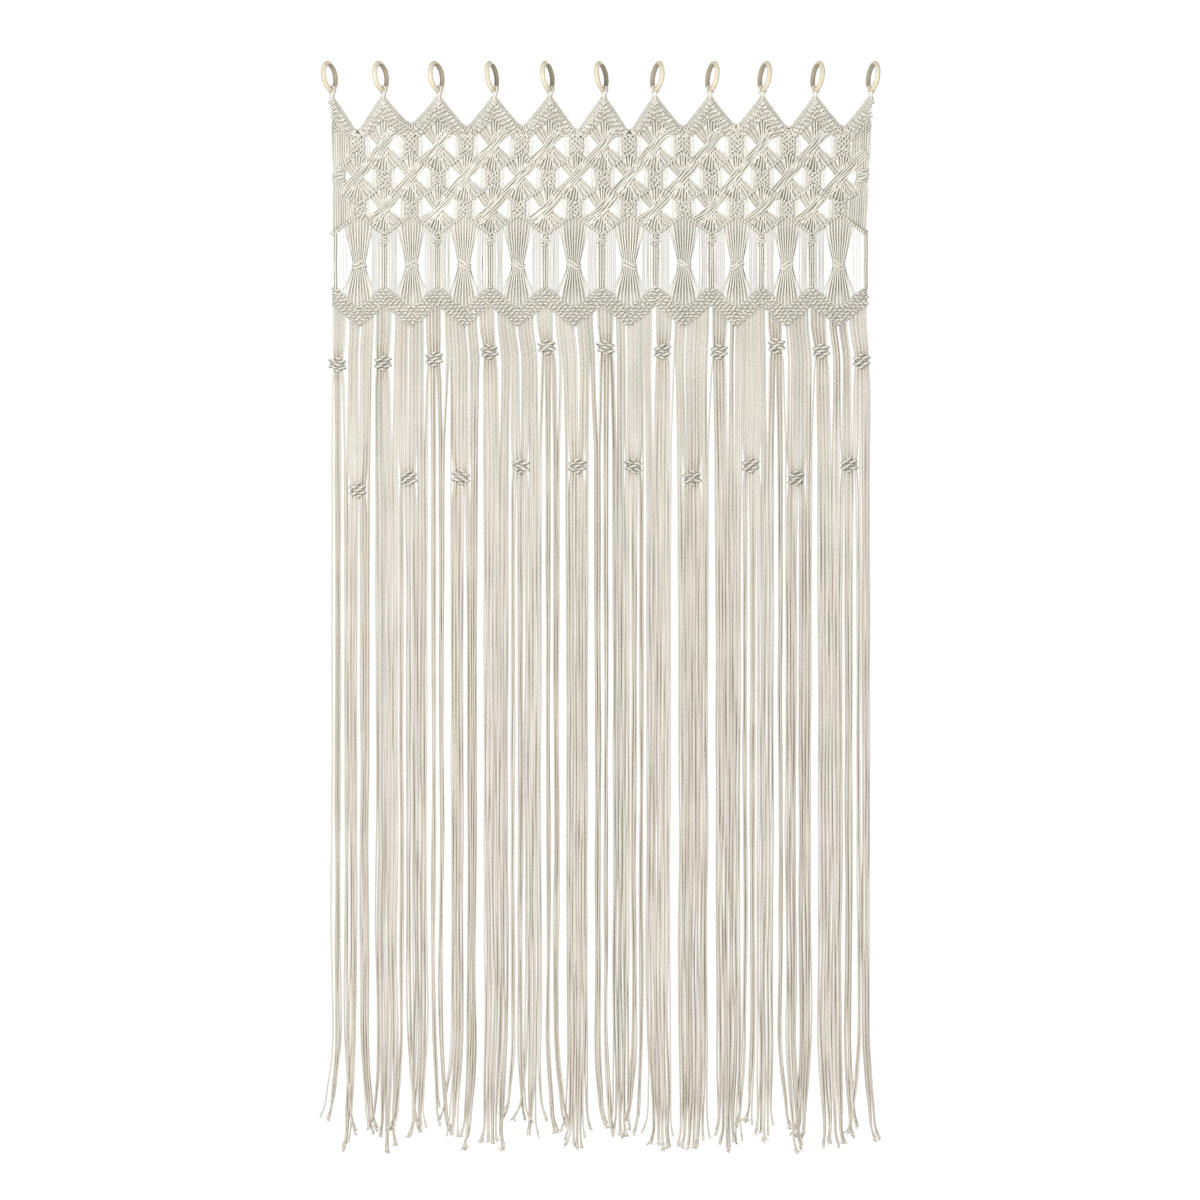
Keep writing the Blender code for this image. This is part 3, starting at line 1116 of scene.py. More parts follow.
@dataclass
class Lattice:
    """Three rows of crossings, each in a diamond between two zigzag lines of hitches.

    Small clusters of hitches fill the corners between the diamonds.

    Attributes:
        strands: cords in a bundle that passes in front.
        spacing: from one cord of a bundle to the next.
        in_front: how far the bundle stands out at a crossing.
        line_step: from one hitch to the next along a line, in x.
        cluster_top: z of the top of the clusters under the valleys.
        cluster_step, cluster_drop: from one hitch of a cluster to the next, across and down.
        strip_cords: upright cords at a side edge.
    """

    plan: NetPlan
    knots: Knots
    strands: int = 5
    spacing: float = 0.0040
    in_front: float = 0.0052
    line_step: float = 0.0047
    cluster_top: float = -0.1262
    cluster_step: float = 0.0049
    cluster_drop: float = 0.0046
    strip_cords: int = 8

    def columns(self, row: int) -> list[float]:
        """X of the crossings of a row: under the peaks, but under the valleys in the middle row."""
        last = self.plan.peaks - 1
        if row == 1:
            return [self.plan.peak(i + 0.5) for i in range(last)]
        return [self.plan.peak(i) for i in range(1, last)]

    def above(self, row: int, x: Array) -> Array:
        """Z of what a row of crossings hangs from: the peaks, or the line of hitches above it."""
        return np.asarray(self.plan.fan_line(x) if row == 0 else self.plan.line(row - 1, x))

    def bundles_over(self, spool: Spool) -> None:
        """Runs the bundles that pass in front, from the upper right of each crossing down to the left."""
        rows, last = self.plan.cross_z, self.plan.peaks - 1
        for start in range(1, last + 1):
            x = self.plan.peak(start)
            if start == last:
                guides = [(x - 0.006, -0.158), (x - 0.016, -0.166), (x - 0.032, -0.182)]
                stops = [(self.plan.peak(start - 0.5), rows[1])]
            else:
                guides = [(x + 0.0245, -0.1215), (x + 0.0165, -0.1242), (x + 0.0080, -0.1335)]
                stops = [(x, rows[0]), (self.plan.peak(start - 0.5), rows[1])]
            if start > 1:
                stops.append((self.plan.peak(start - 1), rows[2]))
            for a, b in zip([None] + stops, stops):
                if a is not None:
                    guides += [
                        (a[0] - 0.0105, a[1] - 0.0125),
                        ((a[0] + b[0]) / 2 + 0.0005, (a[1] + b[1]) / 2 + 0.001),
                        (b[0] + 0.0110, b[1] + 0.0118),
                    ]
                guides.append(b)
            end = stops[-1]
            if start == 1:
                guides += [
                    (end[0] - 0.010, end[1] - 0.0115),
                    (end[0] - 0.020, end[1] - 0.023),
                    (end[0] - 0.027, end[1] - 0.034),
                ]
            else:
                guides += [
                    (end[0] - 0.0105, end[1] - 0.0098),
                    (end[0] - 0.0195, end[1] - 0.0168),
                    (end[0] - 0.0275, end[1] - 0.0220),
                ]
            line = np.array(guides)
            way = unit(np.gradient(line, axis=0))
            across = np.stack([-way[:, 1], way[:, 0]], -1)
            nearest = np.min([np.abs(line - stop).sum(1) for stop in stops], axis=0)
            widen = np.interp(nearest, (0.0, 0.012, 0.030), (0.94, 1.0, 1.14))
            out = -0.0012 - (self.in_front - 0.0012) * np.exp(-((nearest / 0.026) ** 2))
            # The strands in front are painted a little brighter, as painted light.
            for strand in range(self.strands):
                shift = (strand - (self.strands - 1) / 2) * self.spacing * widen
                shift = shift + self.knots.dice.normal(0, 0.0007, len(line))
                guide = line + across * shift[:, None]
                spool.wind(
                    through(flat(guide, out + self.knots.dice.normal(0, 0.0004)), 7 * len(line) // 2),
                    CORD / 2 * 0.96,
                    self.knots.tones(1, 0.04) + 0.05,
                    6,
                )
            # Painted shade: darker, thinner cords lie behind the gaps between the strands.
            for shift in (-1.5, -0.5, 0.5, 1.5):
                shaded_bed = line + across * (shift * self.spacing * widen)[:, None]
                spool.wind(through(flat(shaded_bed, out + 0.0030), 2 * len(line)), 0.0017, 0.85, 4)

    def fans(self, spool: Spool, row: int, x: float, z: float) -> None:
        """Lets cords run together from the line above, pass behind the bundle, and spread to the line below.

        Args:
            spool: where the cord goes.
            row: which row of crossings.
            x, z: the crossing.
        """
        along = np.array([0.70, 0.71])
        # How many cords, where they start, meet and end, and how far behind the middle they pass: first
        # the cords that cross from the left to the right, then those from the apex that spread round the tip.
        families = (
            (4, (-0.0292, -0.0130), (-0.0076, 0.0036), (0.0135, 0.0350), -0.0002),
            (6, (-0.0078, 0.0190), (-0.0034, 0.0092), (-0.0225, 0.0082), 0.0026),
        )
        for count, roots, meets, feet, behind in families:
            root, meet, foot = (np.linspace(*ends, count) for ends in (roots, meets, feet))
            top = np.stack([x + root, self.above(row, x + root)], -1)
            low = np.stack([x + foot, self.plan.line(row, x + foot)], -1)
            middle = np.array([x, z]) + along * meet[:, None]
            guides = np.stack(
                [
                    top,
                    top * 0.62 + middle * 0.38,
                    top * 0.25 + middle * 0.75,
                    middle,
                    middle * 0.72 + low * 0.28,
                    middle * 0.34 + low * 0.66,
                    low,
                ],
                1,
            )
            depth = np.array([-0.0014, -0.0022, -0.0010, behind, -0.0010, -0.0022, -0.0014])
            bright = guides + self.knots.dice.normal(0, 0.00028, guides.shape)
            spool.wind(
                through(flat(bright, depth + self.knots.dice.normal(0, 0.0004, (count, 1))), 19),
                CORD / 2 * 0.96,
                self.knots.tones(count, 0.045) + 0.02,
                6,
            )
            # Painted shade: darker cords lie behind the gaps between the fan's cords, which are painted a
            # little brighter.
            between = (guides[1:] + guides[:-1]) / 2
            for half in (between[:, :4], between[:, 3:]):
                tones = self.knots.tones(len(half), 0.03) * 0.93
                spool.wind(through(flat(half, 0.0030), 6), 0.0021, tones, 4)

    def hitch_lines(self, lines: Spool) -> None:
        """Ties the three zigzag lines of hitches, in front of every bundle that they cross."""
        left, right = self.plan.peak(0.5), self.plan.peak(self.plan.peaks - 1.5)
        for row, reach in enumerate((0.031, 0.027, 0.050)):
            x = np.arange(left - reach, right + reach, self.line_step)
            z = np.asarray(self.plan.line(row, x))
            slant = np.where(np.gradient(z) < 0, math.radians(62), math.radians(98))
            self.knots.hitches(
                lines,
                np.stack([x, z], -1),
                slant,
                half=0.0030,
                depth=0.0050,
                thick=1.16,
                steps=8,
                loose=1.6,
            )
            # Painted shade: darker cords lie behind the hitches, above and below the line.
            for lift, back in ((-0.0012, -0.0022), (0.0014, -0.0022)):
                lines.wind(flat(np.stack([x, z + lift], -1), back), 0.0016, 0.80, 4)

    def clusters(self, spool: Spool, loose: Spool) -> None:
        """Ties the small clusters between the diamonds, with loose cords at both sides of each."""
        for row in range(3):
            for x in self.columns(1 if row != 1 else 0):
                places, slants = [], []
                for column in range(5):
                    away = (column - 2) * self.cluster_step
                    high = self.cluster_top if row == 0 else float(self.above(row, x + away)) - 0.0042
                    high = high - 0.0022 * (column % 2)
                    low = float(self.plan.line(row, x + away)) + 0.0040
                    for step, z in enumerate(np.arange(high, low, -self.cluster_drop)):
                        places.append((x + away, z))
                        slants.append(math.radians(38 if (step + column) % 2 else -30))
                self.knots.hitches(
                    spool,
                    np.array(places),
                    np.array(slants),
                    half=0.0031,
                    depth=0.0036,
                    thick=1.06,
                    steps=8,
                    loose=1.6,
                )
                across = np.arange(-0.0112, 0.0113, 0.0032)
                high = np.full(len(across), -0.1250) if row == 0 else self.above(row, x + across)
                self.knots.carriers(spool, x + across, high, self.plan.line(row, x + across), 0.91)
                for side in Side:
                    for away, thick in ((0.0138, 0.86), (0.0172, 0.86), (0.0204, 0.62)):
                        at = x + side.value * away
                        high = self.cluster_top if row == 0 else float(self.above(row, at))
                        low = float(self.plan.line(row, at))
                        bow = side.value * 0.0011
                        guide = np.array(
                            [
                                (at - bow, high),
                                (at + bow * 0.4, high * 0.7 + low * 0.3),
                                (at + bow * 0.4, high * 0.3 + low * 0.7),
                                (at - bow, low),
                            ]
                        )
                        guide += self.knots.dice.normal(0, 0.0004, guide.shape)
                        loose.wind(
                            through(flat(guide, self.knots.dice.normal(0.0004, 0.0005)), 9),
                            CORD / 2 * thick,
                            self.knots.tones(1, 0.04) + 0.02,
                            6,
                        )

    def side_strips(self, cords: Spool, ties: Spool) -> None:
        """Hangs the upright cords at the two side edges, with a small square knot half way down."""
        for side in Side:
            edge = self.plan.peak(0) if side is Side.LEFT else self.plan.peak(self.plan.peaks - 1)
            inward = -side.value
            for cord in range(self.strip_cords):
                x = edge + inward * (0.0008 + 0.0040 * cord)
                pinch = edge + inward * (0.0045 + 0.0021 * cord)
                start = -0.092 - 0.0031 * cord
                guide = [
                    (x, start),
                    (x, start - 0.02),
                    (x, -0.160),
                    (x * 0.5 + pinch * 0.5, -0.186),
                    (pinch, -0.201),
                    (x * 0.45 + pinch * 0.55, -0.216),
                    (x, -0.238),
                    (x, -0.262),
                    (x + inward * 0.0005, float(self.plan.line(2, x))),
                ]
                guide = np.array(guide) + self.knots.dice.normal(0, 0.0003, (len(guide), 2))
                cords.wind(
                    through(flat(guide, self.knots.dice.normal(0, 0.0006)), 26),
                    CORD / 2 * 0.9,
                    self.knots.tones(1, 0.05),
                    6,
                )
                shaded = guide + (inward * 0.0020, 0.0)
                cords.wind(through(flat(shaded, 0.0026), 16), 0.0018, 0.80, 4)
            for step in (0, 1, 2):
                self.knots.square_knot(
                    ties,
                    (edge + inward * 0.0120, -0.1945 - 0.0075 * step),
                    0.0105,
                    0.0048,
                    0.5 if step % 2 else -0.5,
                    0.0046,
                    0.92,
                    Side.RIGHT if step % 2 else Side.LEFT,
                )
            away, down = np.array(list(np.ndindex(7, 3))).T
            x = edge + inward * (0.0030 + 0.0052 * away)
            filler = np.stack([x, -0.108 - 0.0046 * down - 0.0030 * away], -1)
            self.knots.hitches(ties, filler, math.radians(35), half=0.0032, depth=0.0026, steps=8, loose=1.6)

    def build(self, cords: Spool, clusters: Spool, lines: Spool) -> None:
        """Ties the lattice onto its spools."""
        self.bundles_over(cords)
        for row, z in enumerate(self.plan.cross_z):
            for x in self.columns(row):
                self.fans(cords, row, x, z)
        self.hitch_lines(lines)
        self.clusters(clusters, cords)
        self.side_strips(cords, lines)


# ---------------------------------------------------------------- gathered band


@dataclass
class GatheredBand:
    """Tied bundles at the valleys and narrow strips at the peaks, below the lowest line of hitches.

    Attributes:
        bundle_cords: cords in a tied bundle.
        top_half, waist_half, foot_half: half a bundle's width at its top, tie and foot.
    """

    plan: NetPlan
    knots: Knots
    bundle_cords: int = 8
    top_half: float = 0.0205
    waist_half: float = 0.0105
    foot_half: float = 0.0235

    def bundles(self, cords: Spool, ties: Spool) -> None:
        """Gathers the cords of each valley and ties them at the waist."""
        bulge = np.array([0.0, 0.6, 1.0, 1.2, 1.2, 1.2, 1.0, 0.6, 0.2])
        for valley in range(self.plan.peaks - 1):
            x = self.plan.peak(valley + 0.5)
            for cord in range(2 * self.bundle_cords - 1):
                share = (cord - (self.bundle_cords - 1)) / (self.bundle_cords - 1)
                behind = cord % 2
                stray = 0.0010 * self.knots.dice.normal()
                top, foot = x + share * self.top_half, x + share * self.foot_half
                guide = [
                    (top, float(self.plan.line(2, top))),
                    (x + share * self.top_half * 0.93 + stray * 0.2, -0.298),
                    (x + share * (self.waist_half + 0.0052), -0.322),
                    (x + share * (self.waist_half + 0.0012), -0.3465),
                    (x + share * self.waist_half * 0.88, self.plan.tie_z),
                    (x + share * (self.waist_half + 0.0016), -0.3830),
                    (x + share * (self.foot_half * 0.74), -0.404),
                    (x + share * self.foot_half * 0.94 + stray * 0.3, -0.427),
                    (foot, float(self.plan.zigzag(foot, 0.10))),
                ]
                depth = bulge * (0.0022 if behind else -0.0022)
                # Painted light and shade: the cords behind are darker, those in front a little brighter.
                tone = self.knots.tones(1, 0.03) * 0.81 if behind else self.knots.tones(1, 0.04) + 0.03
                path = through(flat(guide, depth), 26)
                # Drawn together under the tie, each cord is squeezed thinner.
                squeeze = 1 - 0.26 * np.exp(-(((path[..., 2] - self.plan.tie_z) / 0.026) ** 2))
                cords.wind(path, CORD / 2 * (1.0 if behind else 0.97 * squeeze), tone, 4 if behind else 6)
            self.stray(cords, x)
            self.wrap(ties, x, Side.RIGHT if valley in (0, 1, 7, 8) else Side.LEFT)

    def stray(self, cords: Spool, x: float) -> None:
        """Hangs single cords at both sides of a bundle, which only the tie draws in.

        Args:
            cords: where the cord goes.
            x: the middle of the bundle.
        """
        for side in Side:
            for top, foot in ((0.0238, 0.0270), (0.0276, 0.0312)):
                top, foot = (
                    x + side.value * (part + self.knots.dice.normal(0, 0.0008)) for part in (top, foot)
                )
                waist = x + side.value * self.waist_half
                guide = [
                    (top, float(self.plan.line(2, top))),
                    (top * 0.72 + waist * 0.28, -0.3120),
                    (top * 0.22 + waist * 0.78, -0.3450),
                    (waist, self.plan.tie_z),
                    (waist * 0.72 + foot * 0.28, -0.3850),
                    (waist * 0.28 + foot * 0.72, -0.4060),
                    (foot, float(self.plan.zigzag(foot, 0.08))),
                ]
                cords.wind(through(flat(guide, 0.0012), 18), 0.00115, 0.97, 5)

    def wrap(self, ties: Spool, x: float, rise: Side) -> None:
        """Ties a bundle: two slanted turns round its waist, and one between them that shows at the edges.

        Args:
            ties: where the cord goes.
            x: the middle of the bundle.
            rise: the side that the turns climb to.
        """
        for lift, slant, reach in ((0.0038, 19, 1.06), (-0.0036, 14, 1.10)):
            self.knots.hitches(
                ties,
                np.array([(x, self.plan.tie_z + lift)]),
                np.array([rise.value * math.radians(slant)]),
                half=self.waist_half * reach + 0.0004,
                depth=0.0062,
                thick=1.22,
                steps=22,
                sides=7,
            )
        self.knots.hitches(
            ties,
            np.array([(x, self.plan.tie_z)]),
            np.array([0.0]),
            half=self.waist_half + 0.0020,
            depth=0.0052,
            thick=0.85,
            steps=18,
            sides=5,
        )

    def strips(self, cords: Spool, ties: Spool) -> None:
        """Hangs the narrow strips at the peaks, with thin single cords at either side."""
        last = self.plan.peaks - 1
        for index in range(last + 1):
            x = self.plan.peak(index)
            places = np.array([-0.0057, -0.0019, 0.0019, 0.0057])
            if index in (0, last):
                inward = 1 if index == 0 else -1
                places = inward * np.array([0.0012, 0.0044, 0.0125, 0.0180, 0.0230])
                top = -0.3005
            else:
                top = -0.3085
                for step in (0, 1):
                    self.knots.square_knot(
                        ties,
                        (x, -0.3165 - 0.0074 * step),
                        0.0062,
                        0.0046,
                        0.4 if step else -0.4,
                        0.0046,
                        0.9,
                        Side.RIGHT if step else Side.LEFT,
                    )
            for number, away in enumerate(places):
                foot = float(self.plan.zigzag(x + away, 0.10))
                near, out = x + away, x + away * 1.05
                route = [(near, top), (near, -0.322), (out, -0.345), (out, -0.37)]
                route += [(near, -0.39), (near, foot)]
                guide = np.array(route) + self.knots.dice.normal(0, 0.0003, (len(route), 2))
                slim = 0.97 if abs(away) < 0.006 else 0.55
                cords.wind(
                    through(flat(guide, 0.0012 * (-1) ** number - 0.0005), 16),
                    CORD / 2 * slim * 0.92,
                    self.knots.tones(1, 0.05) + (0.0 if slim > 0.9 else 0.06),
                    6,
                )
                # Painted shade: a darker cord lies behind each of the middle cords.
                if slim > 0.9 and number < 3:
                    cords.wind(through(flat(guide + (0.0019, 0.0), 0.0034), 10), 0.0015, 0.88, 4)
            if index in (0, last):
                continue
            for side in Side:
                for away in (0.0096, 0.0127, 0.0159, 0.0192, 0.0226):
                    start = x + side.value * away
                    head = float(self.plan.line(2, start))
                    foot = float(self.plan.zigzag(start, 0.08))
                    drift = self.knots.dice.normal(0, 0.0008)
                    guide = np.array(
                        [
                            (start, head),
                            (start + drift * 0.5, head - 0.03),
                            (start + drift, -0.362),
                            (start + drift * 0.6, foot + 0.03),
                            (start, foot),
                        ]
                    )
                    cords.wind(through(flat(guide, 0.0008), 12), 0.00105, 0.92, 5)

    def build(self, cords: Spool, lines: Spool) -> None:
        """Ties the band onto its spools."""
        self.bundles(cords, lines)
        self.strips(cords, lines)


# ---------------------------------------------------------------- zigzag band


@dataclass
class ZigzagBand:
    """Rows of half hitches, laid like bricks, that fill a zigzag.

    Attributes:
        row_drop: from one row down to the next.
        step: from one hitch to the next along a row.
        falling, rising: the slant of a hitch on a falling and on a rising flank, degrees.
        backings, painted_backing_shade: how many cords show between the hitches, and how bright they are,
            darkened as painted shade.
    """

    plan: NetPlan
    knots: Knots
    row_drop: float = 0.0060
    step: float = 0.0098
    falling: float = 14.0
    rising: float = -4.0
    backings: int = 7
    painted_backing_shade: float = 0.72

    def build(self, spool: Spool) -> None:
        """Ties the band onto a spool."""
        left, right = self.plan.peak(0), self.plan.peak(self.plan.peaks - 1)
        rows = np.arange(
            self.plan.band_top, self.plan.band_foot - 1.05 * self.plan.band_drop, -self.row_drop
        )
        along = np.arange(left + 0.004, right - 0.002, self.step)
        x = (
            along[None]
            + self.step * (0.5 * (np.arange(len(rows)) % 2))[:, None]
            + self.knots.dice.normal(0, 0.0007, (len(rows), len(along)))
        )
        z = rows[:, None] - 0.0026 * np.ones_like(x)
        inside = (z < self.plan.zigzag(x, 0.05)) & (z > self.plan.zigzag(x, 0.95)) & (x < right)
        angles = np.radians(np.where(self.plan.repeat(x) % 1.0 > 0.5, self.rising, self.falling))[inside]
        self.knots.hitches(
            spool,
            np.stack([x, z], -1)[inside],
            angles,
            half=0.0033,
            depth=0.0046,
            thick=1.26,
            steps=10,
            loose=2.0,
        )
        x = np.linspace(left - 0.001, right + 0.001, 161)
        # Painted shade: darker cords show between the hitches.
        for share in (np.arange(self.backings) + 0.5) / self.backings:
            line = flat(np.stack([x, self.plan.zigzag(x, share)], -1), 0.0004)
            spool.wind(line, 0.0027, self.painted_backing_shade, 5)


# ---------------------------------------------------------------- fringe


@dataclass(frozen=True)
class Tress:
    """Cords that hang together in the fringe.

    Attributes:
        x: its middle.
        width: how wide it hangs.
        foot: z of its longest tip.
    """

    x: float
    width: float
    foot: float

    @classmethod
    def read(cls, points: Array, feet: float = -1.9) -> list[Tress]:
        """Reads the tresses off the plain comb, whose teeth end in three corners: left, longest and right.

        Args:
            points: the comb's corners.
            feet: z below which only the ends of the teeth are.

        Returns:
            The tresses, from the left.
        """
        low = points[points[:, 2] < feet]
        low = low[np.argsort(low[:, 0])]
        starts = np.flatnonzero(np.diff(low[:, 0], prepend=-9.0) > 1e-4)
        teeth = low[starts, 0].reshape(-1, 3)
        feet = [low[np.abs(low[:, 0] - middle) < 1e-4, 2].min() for middle in teeth[:, 1]]
        return [cls((left + right) / 2, right - left, foot) for (left, _, right), foot in zip(teeth, feet)]


@dataclass(frozen=True)
class FringeKnot:
    """A small diamond of square knots on the fringe, at (x, z)."""

    x: float
    z: float

    @classmethod
    def read(cls, points: Array, proud: float = 0.0035, apart: float = 0.03) -> list[FringeKnot]:
        """Reads one row of knots off the balls that stand out of the plain comb.

        Args:
            points: the comb's corners at that height.
            proud: how far out a corner is that belongs to a ball.
            apart: the least room between two balls.

        Returns:
            The knots, from the left.
        """
        points = points[np.abs(points[:, 1]) > proud]
        points = points[np.argsort(points[:, 0])]
        balls = np.split(points, np.flatnonzero(np.diff(points[:, 0]) > apart) + 1)
        return [cls(*((ball.min(0) + ball.max(0)) / 2)[[0, 2]]) for ball in balls]


@dataclass
class Dealt:
    """How the cords are dealt out to the tresses: one number for each cord.

    Attributes:
        tress: which tress it hangs in.
        x: where it hangs there.
        parting: z below which it draws away from the next tress.
        foot: z of its end.
        bunch: which small brush it ends in.
        peel: how far its end peels away from the tress, along x.
    """

    tress: Array
    x: Array
    parting: Array
    foot: Array
    bunch: Array
    peel: Array


@dataclass
class Fringe:
    """The loose ends: cords that part into tresses, two rows of small knots, and frayed tips.

    Attributes:
        tresses, upper_knots, lower_knots: read off the plain comb.
        cords: how many cords there are.
        levels: how many points each has.
        wide: the width from which a tress has cords that peel away from it.
        loose: how much wider a tress hangs than the plain tooth.
        bound: how near to a lower knot a gap is that only opens below it.
        parted: z where the other gaps open.
        fast, slow: over what heights a gap opens, first fast and then slowly.
        block: half the width of the block of cords over an upper knot.
        closing: how far the cords of a brush draw together, 1 for all the way.
        peeled: how far up from its end a cord peels away from its tress.
    """

    plan: NetPlan
    knots: Knots
    tresses: list[Tress]
    upper_knots: list[FringeKnot]
    lower_knots: list[FringeKnot]
    cords: int = 260
    levels: int = 64
    wide: float = 0.018
    loose: float = 0.0032
    bound: float = 0.019
    parted: float = -0.540
    fast: float = 0.16
    slow: float = 0.75
    block: float = 0.0178
    closing: float = 0.62
    peeled: float = 0.12

    def partings(self) -> Array:
        """Z at which each gap between two tresses opens: below the lower knot that binds it, if one does."""
        opens = []
        for gap in self.gaps():
            binding = [knot.z - 0.010 for knot in self.lower_knots if abs(knot.x - gap) < self.bound]
            opens.append(min([self.parted, *binding]))
        return np.array([opens[0], *opens, opens[-1]])

    def gaps(self) -> list[float]:
        """X of the middle of each gap between two tresses."""
        return [(a.x + a.width / 2 + b.x - b.width / 2) / 2 for a, b in zip(self.tresses, self.tresses[1:])]

    def deal(self, even: Array) -> Dealt:
        """Deals the cords out to the tresses that are nearest to them, and says how each one ends.

        Args:
            even: x of each cord where it leaves the net.

        Returns:
            What each cord does.
        """
        dice, opens = self.knots.dice, self.partings()
        dealt = Dealt(np.searchsorted(self.gaps(), even), *(np.zeros(self.cords) for _ in range(5)))
        bunches = 0
        for number, tress in enumerate(self.tresses):
            here = np.flatnonzero(dealt.tress == number)
            many = len(here)
            share = np.linspace(-1, 1, many) if many > 1 else np.zeros(many)
            dealt.x[here] = tress.x + share * (tress.width - CORD + self.loose) / 2
            dealt.parting[here] = opens[number] + (opens[number + 1] - opens[number]) * (share + 1) / 2
            bunch = np.searchsorted(np.cumsum(dice.integers(2, 5, many)), np.arange(many), side="right")
            height = np.abs(dice.normal(0, 0.013, many))[bunch]
            longer = dice.uniform(0, 0.030) if tress.width < self.wide else 0.0
            plain = tress.foot + 0.003 - longer + height + 0.006 * np.abs(share)
            dealt.foot[here] = plain + dice.normal(0, 0.0012, many)
            dealt.bunch[here] = bunches + bunch
            bunches += many
            if tress.width > self.wide:
                for side in Side:
                    few = dice.integers(0, 3)
                    outer = here[:few] if side is Side.LEFT else here[many - few :]
                    dealt.peel[outer] = side.value * dice.uniform(0.004, 0.013)
                    higher = dice.uniform(0.020, 0.045)
                    dealt.foot[outer] = tress.foot + higher + dice.normal(0, 0.0015, len(outer))
        return dealt

    def lines(self) -> Array:
        """Works out how every cord of the fringe hangs.

        Returns:
            (cords, levels, 3) of points.
        """
        dice, plan = self.knots.dice, self.plan
        index = np.arange(self.cords)
        even = plan.middles[0] + (index + 0.5) / self.cords * (plan.middles[-1] - plan.middles[0])
        start = self.blocks(even)[:, None]
        head = np.asarray(plan.zigzag(even, 0.92))
        dealt = self.deal(even)
        # More of the points are spent where the cords part and at their tips.
        along = np.interp(np.linspace(0, 1, self.levels), (0, 0.30, 0.84, 1), (0, 0.24, 0.93, 1))
        z = head[:, None] + (dealt.foot - head)[:, None] * along
        # A gap opens fast below its knot, and then slowly for a long way.
        below = dealt.parting[:, None] - z
        fast, slow = (np.clip(below / length, 0, 1) for length in (self.fast, self.slow))
        opening = 0.6 * fast + 0.4 * slow
        x = start + (even[:, None] - start) * ramp(z, -0.56, 0.16)
        x = x + (dealt.x[:, None] - even[:, None]) * opening
        x = self.gather(x, z)
        x = x + self.sway(z, dealt)
        x = self.tips(x, z, dealt)
        y = (
            0.0016 * np.where(index % 2, 1.0, -1.0)[:, None]
            + dice.normal(0, 0.0003, (self.cords, 1))
            + 0.0016 * self.waves(z, 3, 0.35, self.cords)
        )
        y = y + dice.normal(0, 0.0040, (self.cords, 1)) * ramp(z, dealt.foot[:, None] + 0.055, 0.055)
        return np.stack([x, y, z], -1)

    def blocks(self, x: Array) -> Array:
        """Parts the cords, where they leave the net, into a block over each upper knot and blocks between.

        Args:
            x: where the cords would hang if they were evenly spaced.

        Returns:
            Where they hang, with a slit at both sides of every block.
        """
        edges = [knot.x + side.value * self.block for knot in self.upper_knots for side in Side]
        slits = [(edge, 0.0050 + 0.0016 * math.sin(9 * i)) for i, edge in enumerate(edges)]
        slits += [
            (self.plan.peak(i + 0.5) + 0.004 * (-1) ** i, 0.0026 + 0.0010 * math.sin(5 * i))
            for i in range(self.plan.peaks - 1)
        ]
        ends = self.plan.middles[0], self.plan.middles[-1]
        slits = sorted(slit for slit in slits if ends[0] + 0.004 < slit[0] < ends[1] - 0.004)
        before = [place + side * 1e-5 for place, _ in slits for side in (-1, 1)]
        after = [place + side * wide / 2 for place, wide in slits for side in (-1, 1)]
        return np.interp(x, [ends[0], *before, ends[1]], [ends[0], *after, ends[1]])

    def gather(self, x: Array, z: Array) -> Array:
        """Draws the cords in where a knot holds them."""
        holding = [(knot, 0.0170, 0.24) for knot in self.upper_knots]
        holding += [(knot, 0.0165, 0.20) for knot in self.lower_knots]
        for knot, half, pull in holding:
            level = np.argmin(np.abs(z - knot.z), axis=1)
            at = x[np.arange(len(x)), level]
            held = np.abs(at - knot.x) < half
            near = np.exp(-(((z - knot.z) / 0.026) ** 2)) * held[:, None]
            x = x + (knot.x - x) * near * pull
        return x

    def waves(self, z: Array, count: int, spacing: float, many: int) -> Array:
        """Sums a few slow waves down each cord, none of them at the top.

        Args:
            z: height of each point of each cord.
            count: how many waves.
            spacing: length of the longest, metres.
            many: how many cords.

        Returns:
            A number about -1 to 1 for each point.
        """
        dice = self.knots.dice
        total = np.zeros_like(z)
        for wave in range(count):
            length = spacing / (1 + 0.7 * wave)
            total = total + np.sin(2 * math.pi * (z / length + dice.uniform(0, 1, (many, 1)))) / (1 + wave)
        return total * np.clip((-0.50 - z) / 0.25, 0, 1) * 0.6

    def sway(self, z: Array, dealt: Dealt) -> Array:
        """Sways each tress as a whole, and each cord a little in it."""
        low = np.clip((-0.85 - z) / 0.9, 0, 1)
        sway = self.waves(z, 3, 0.5, self.cords) * (0.0004 + 0.0009 * low)
        for number in range(len(self.tresses)):
            here = np.flatnonzero(dealt.tress == number)
            sway[here] += self.waves(z[here[:1]], 2, 0.7, 1) * 0.0018 * low[here]
        return sway

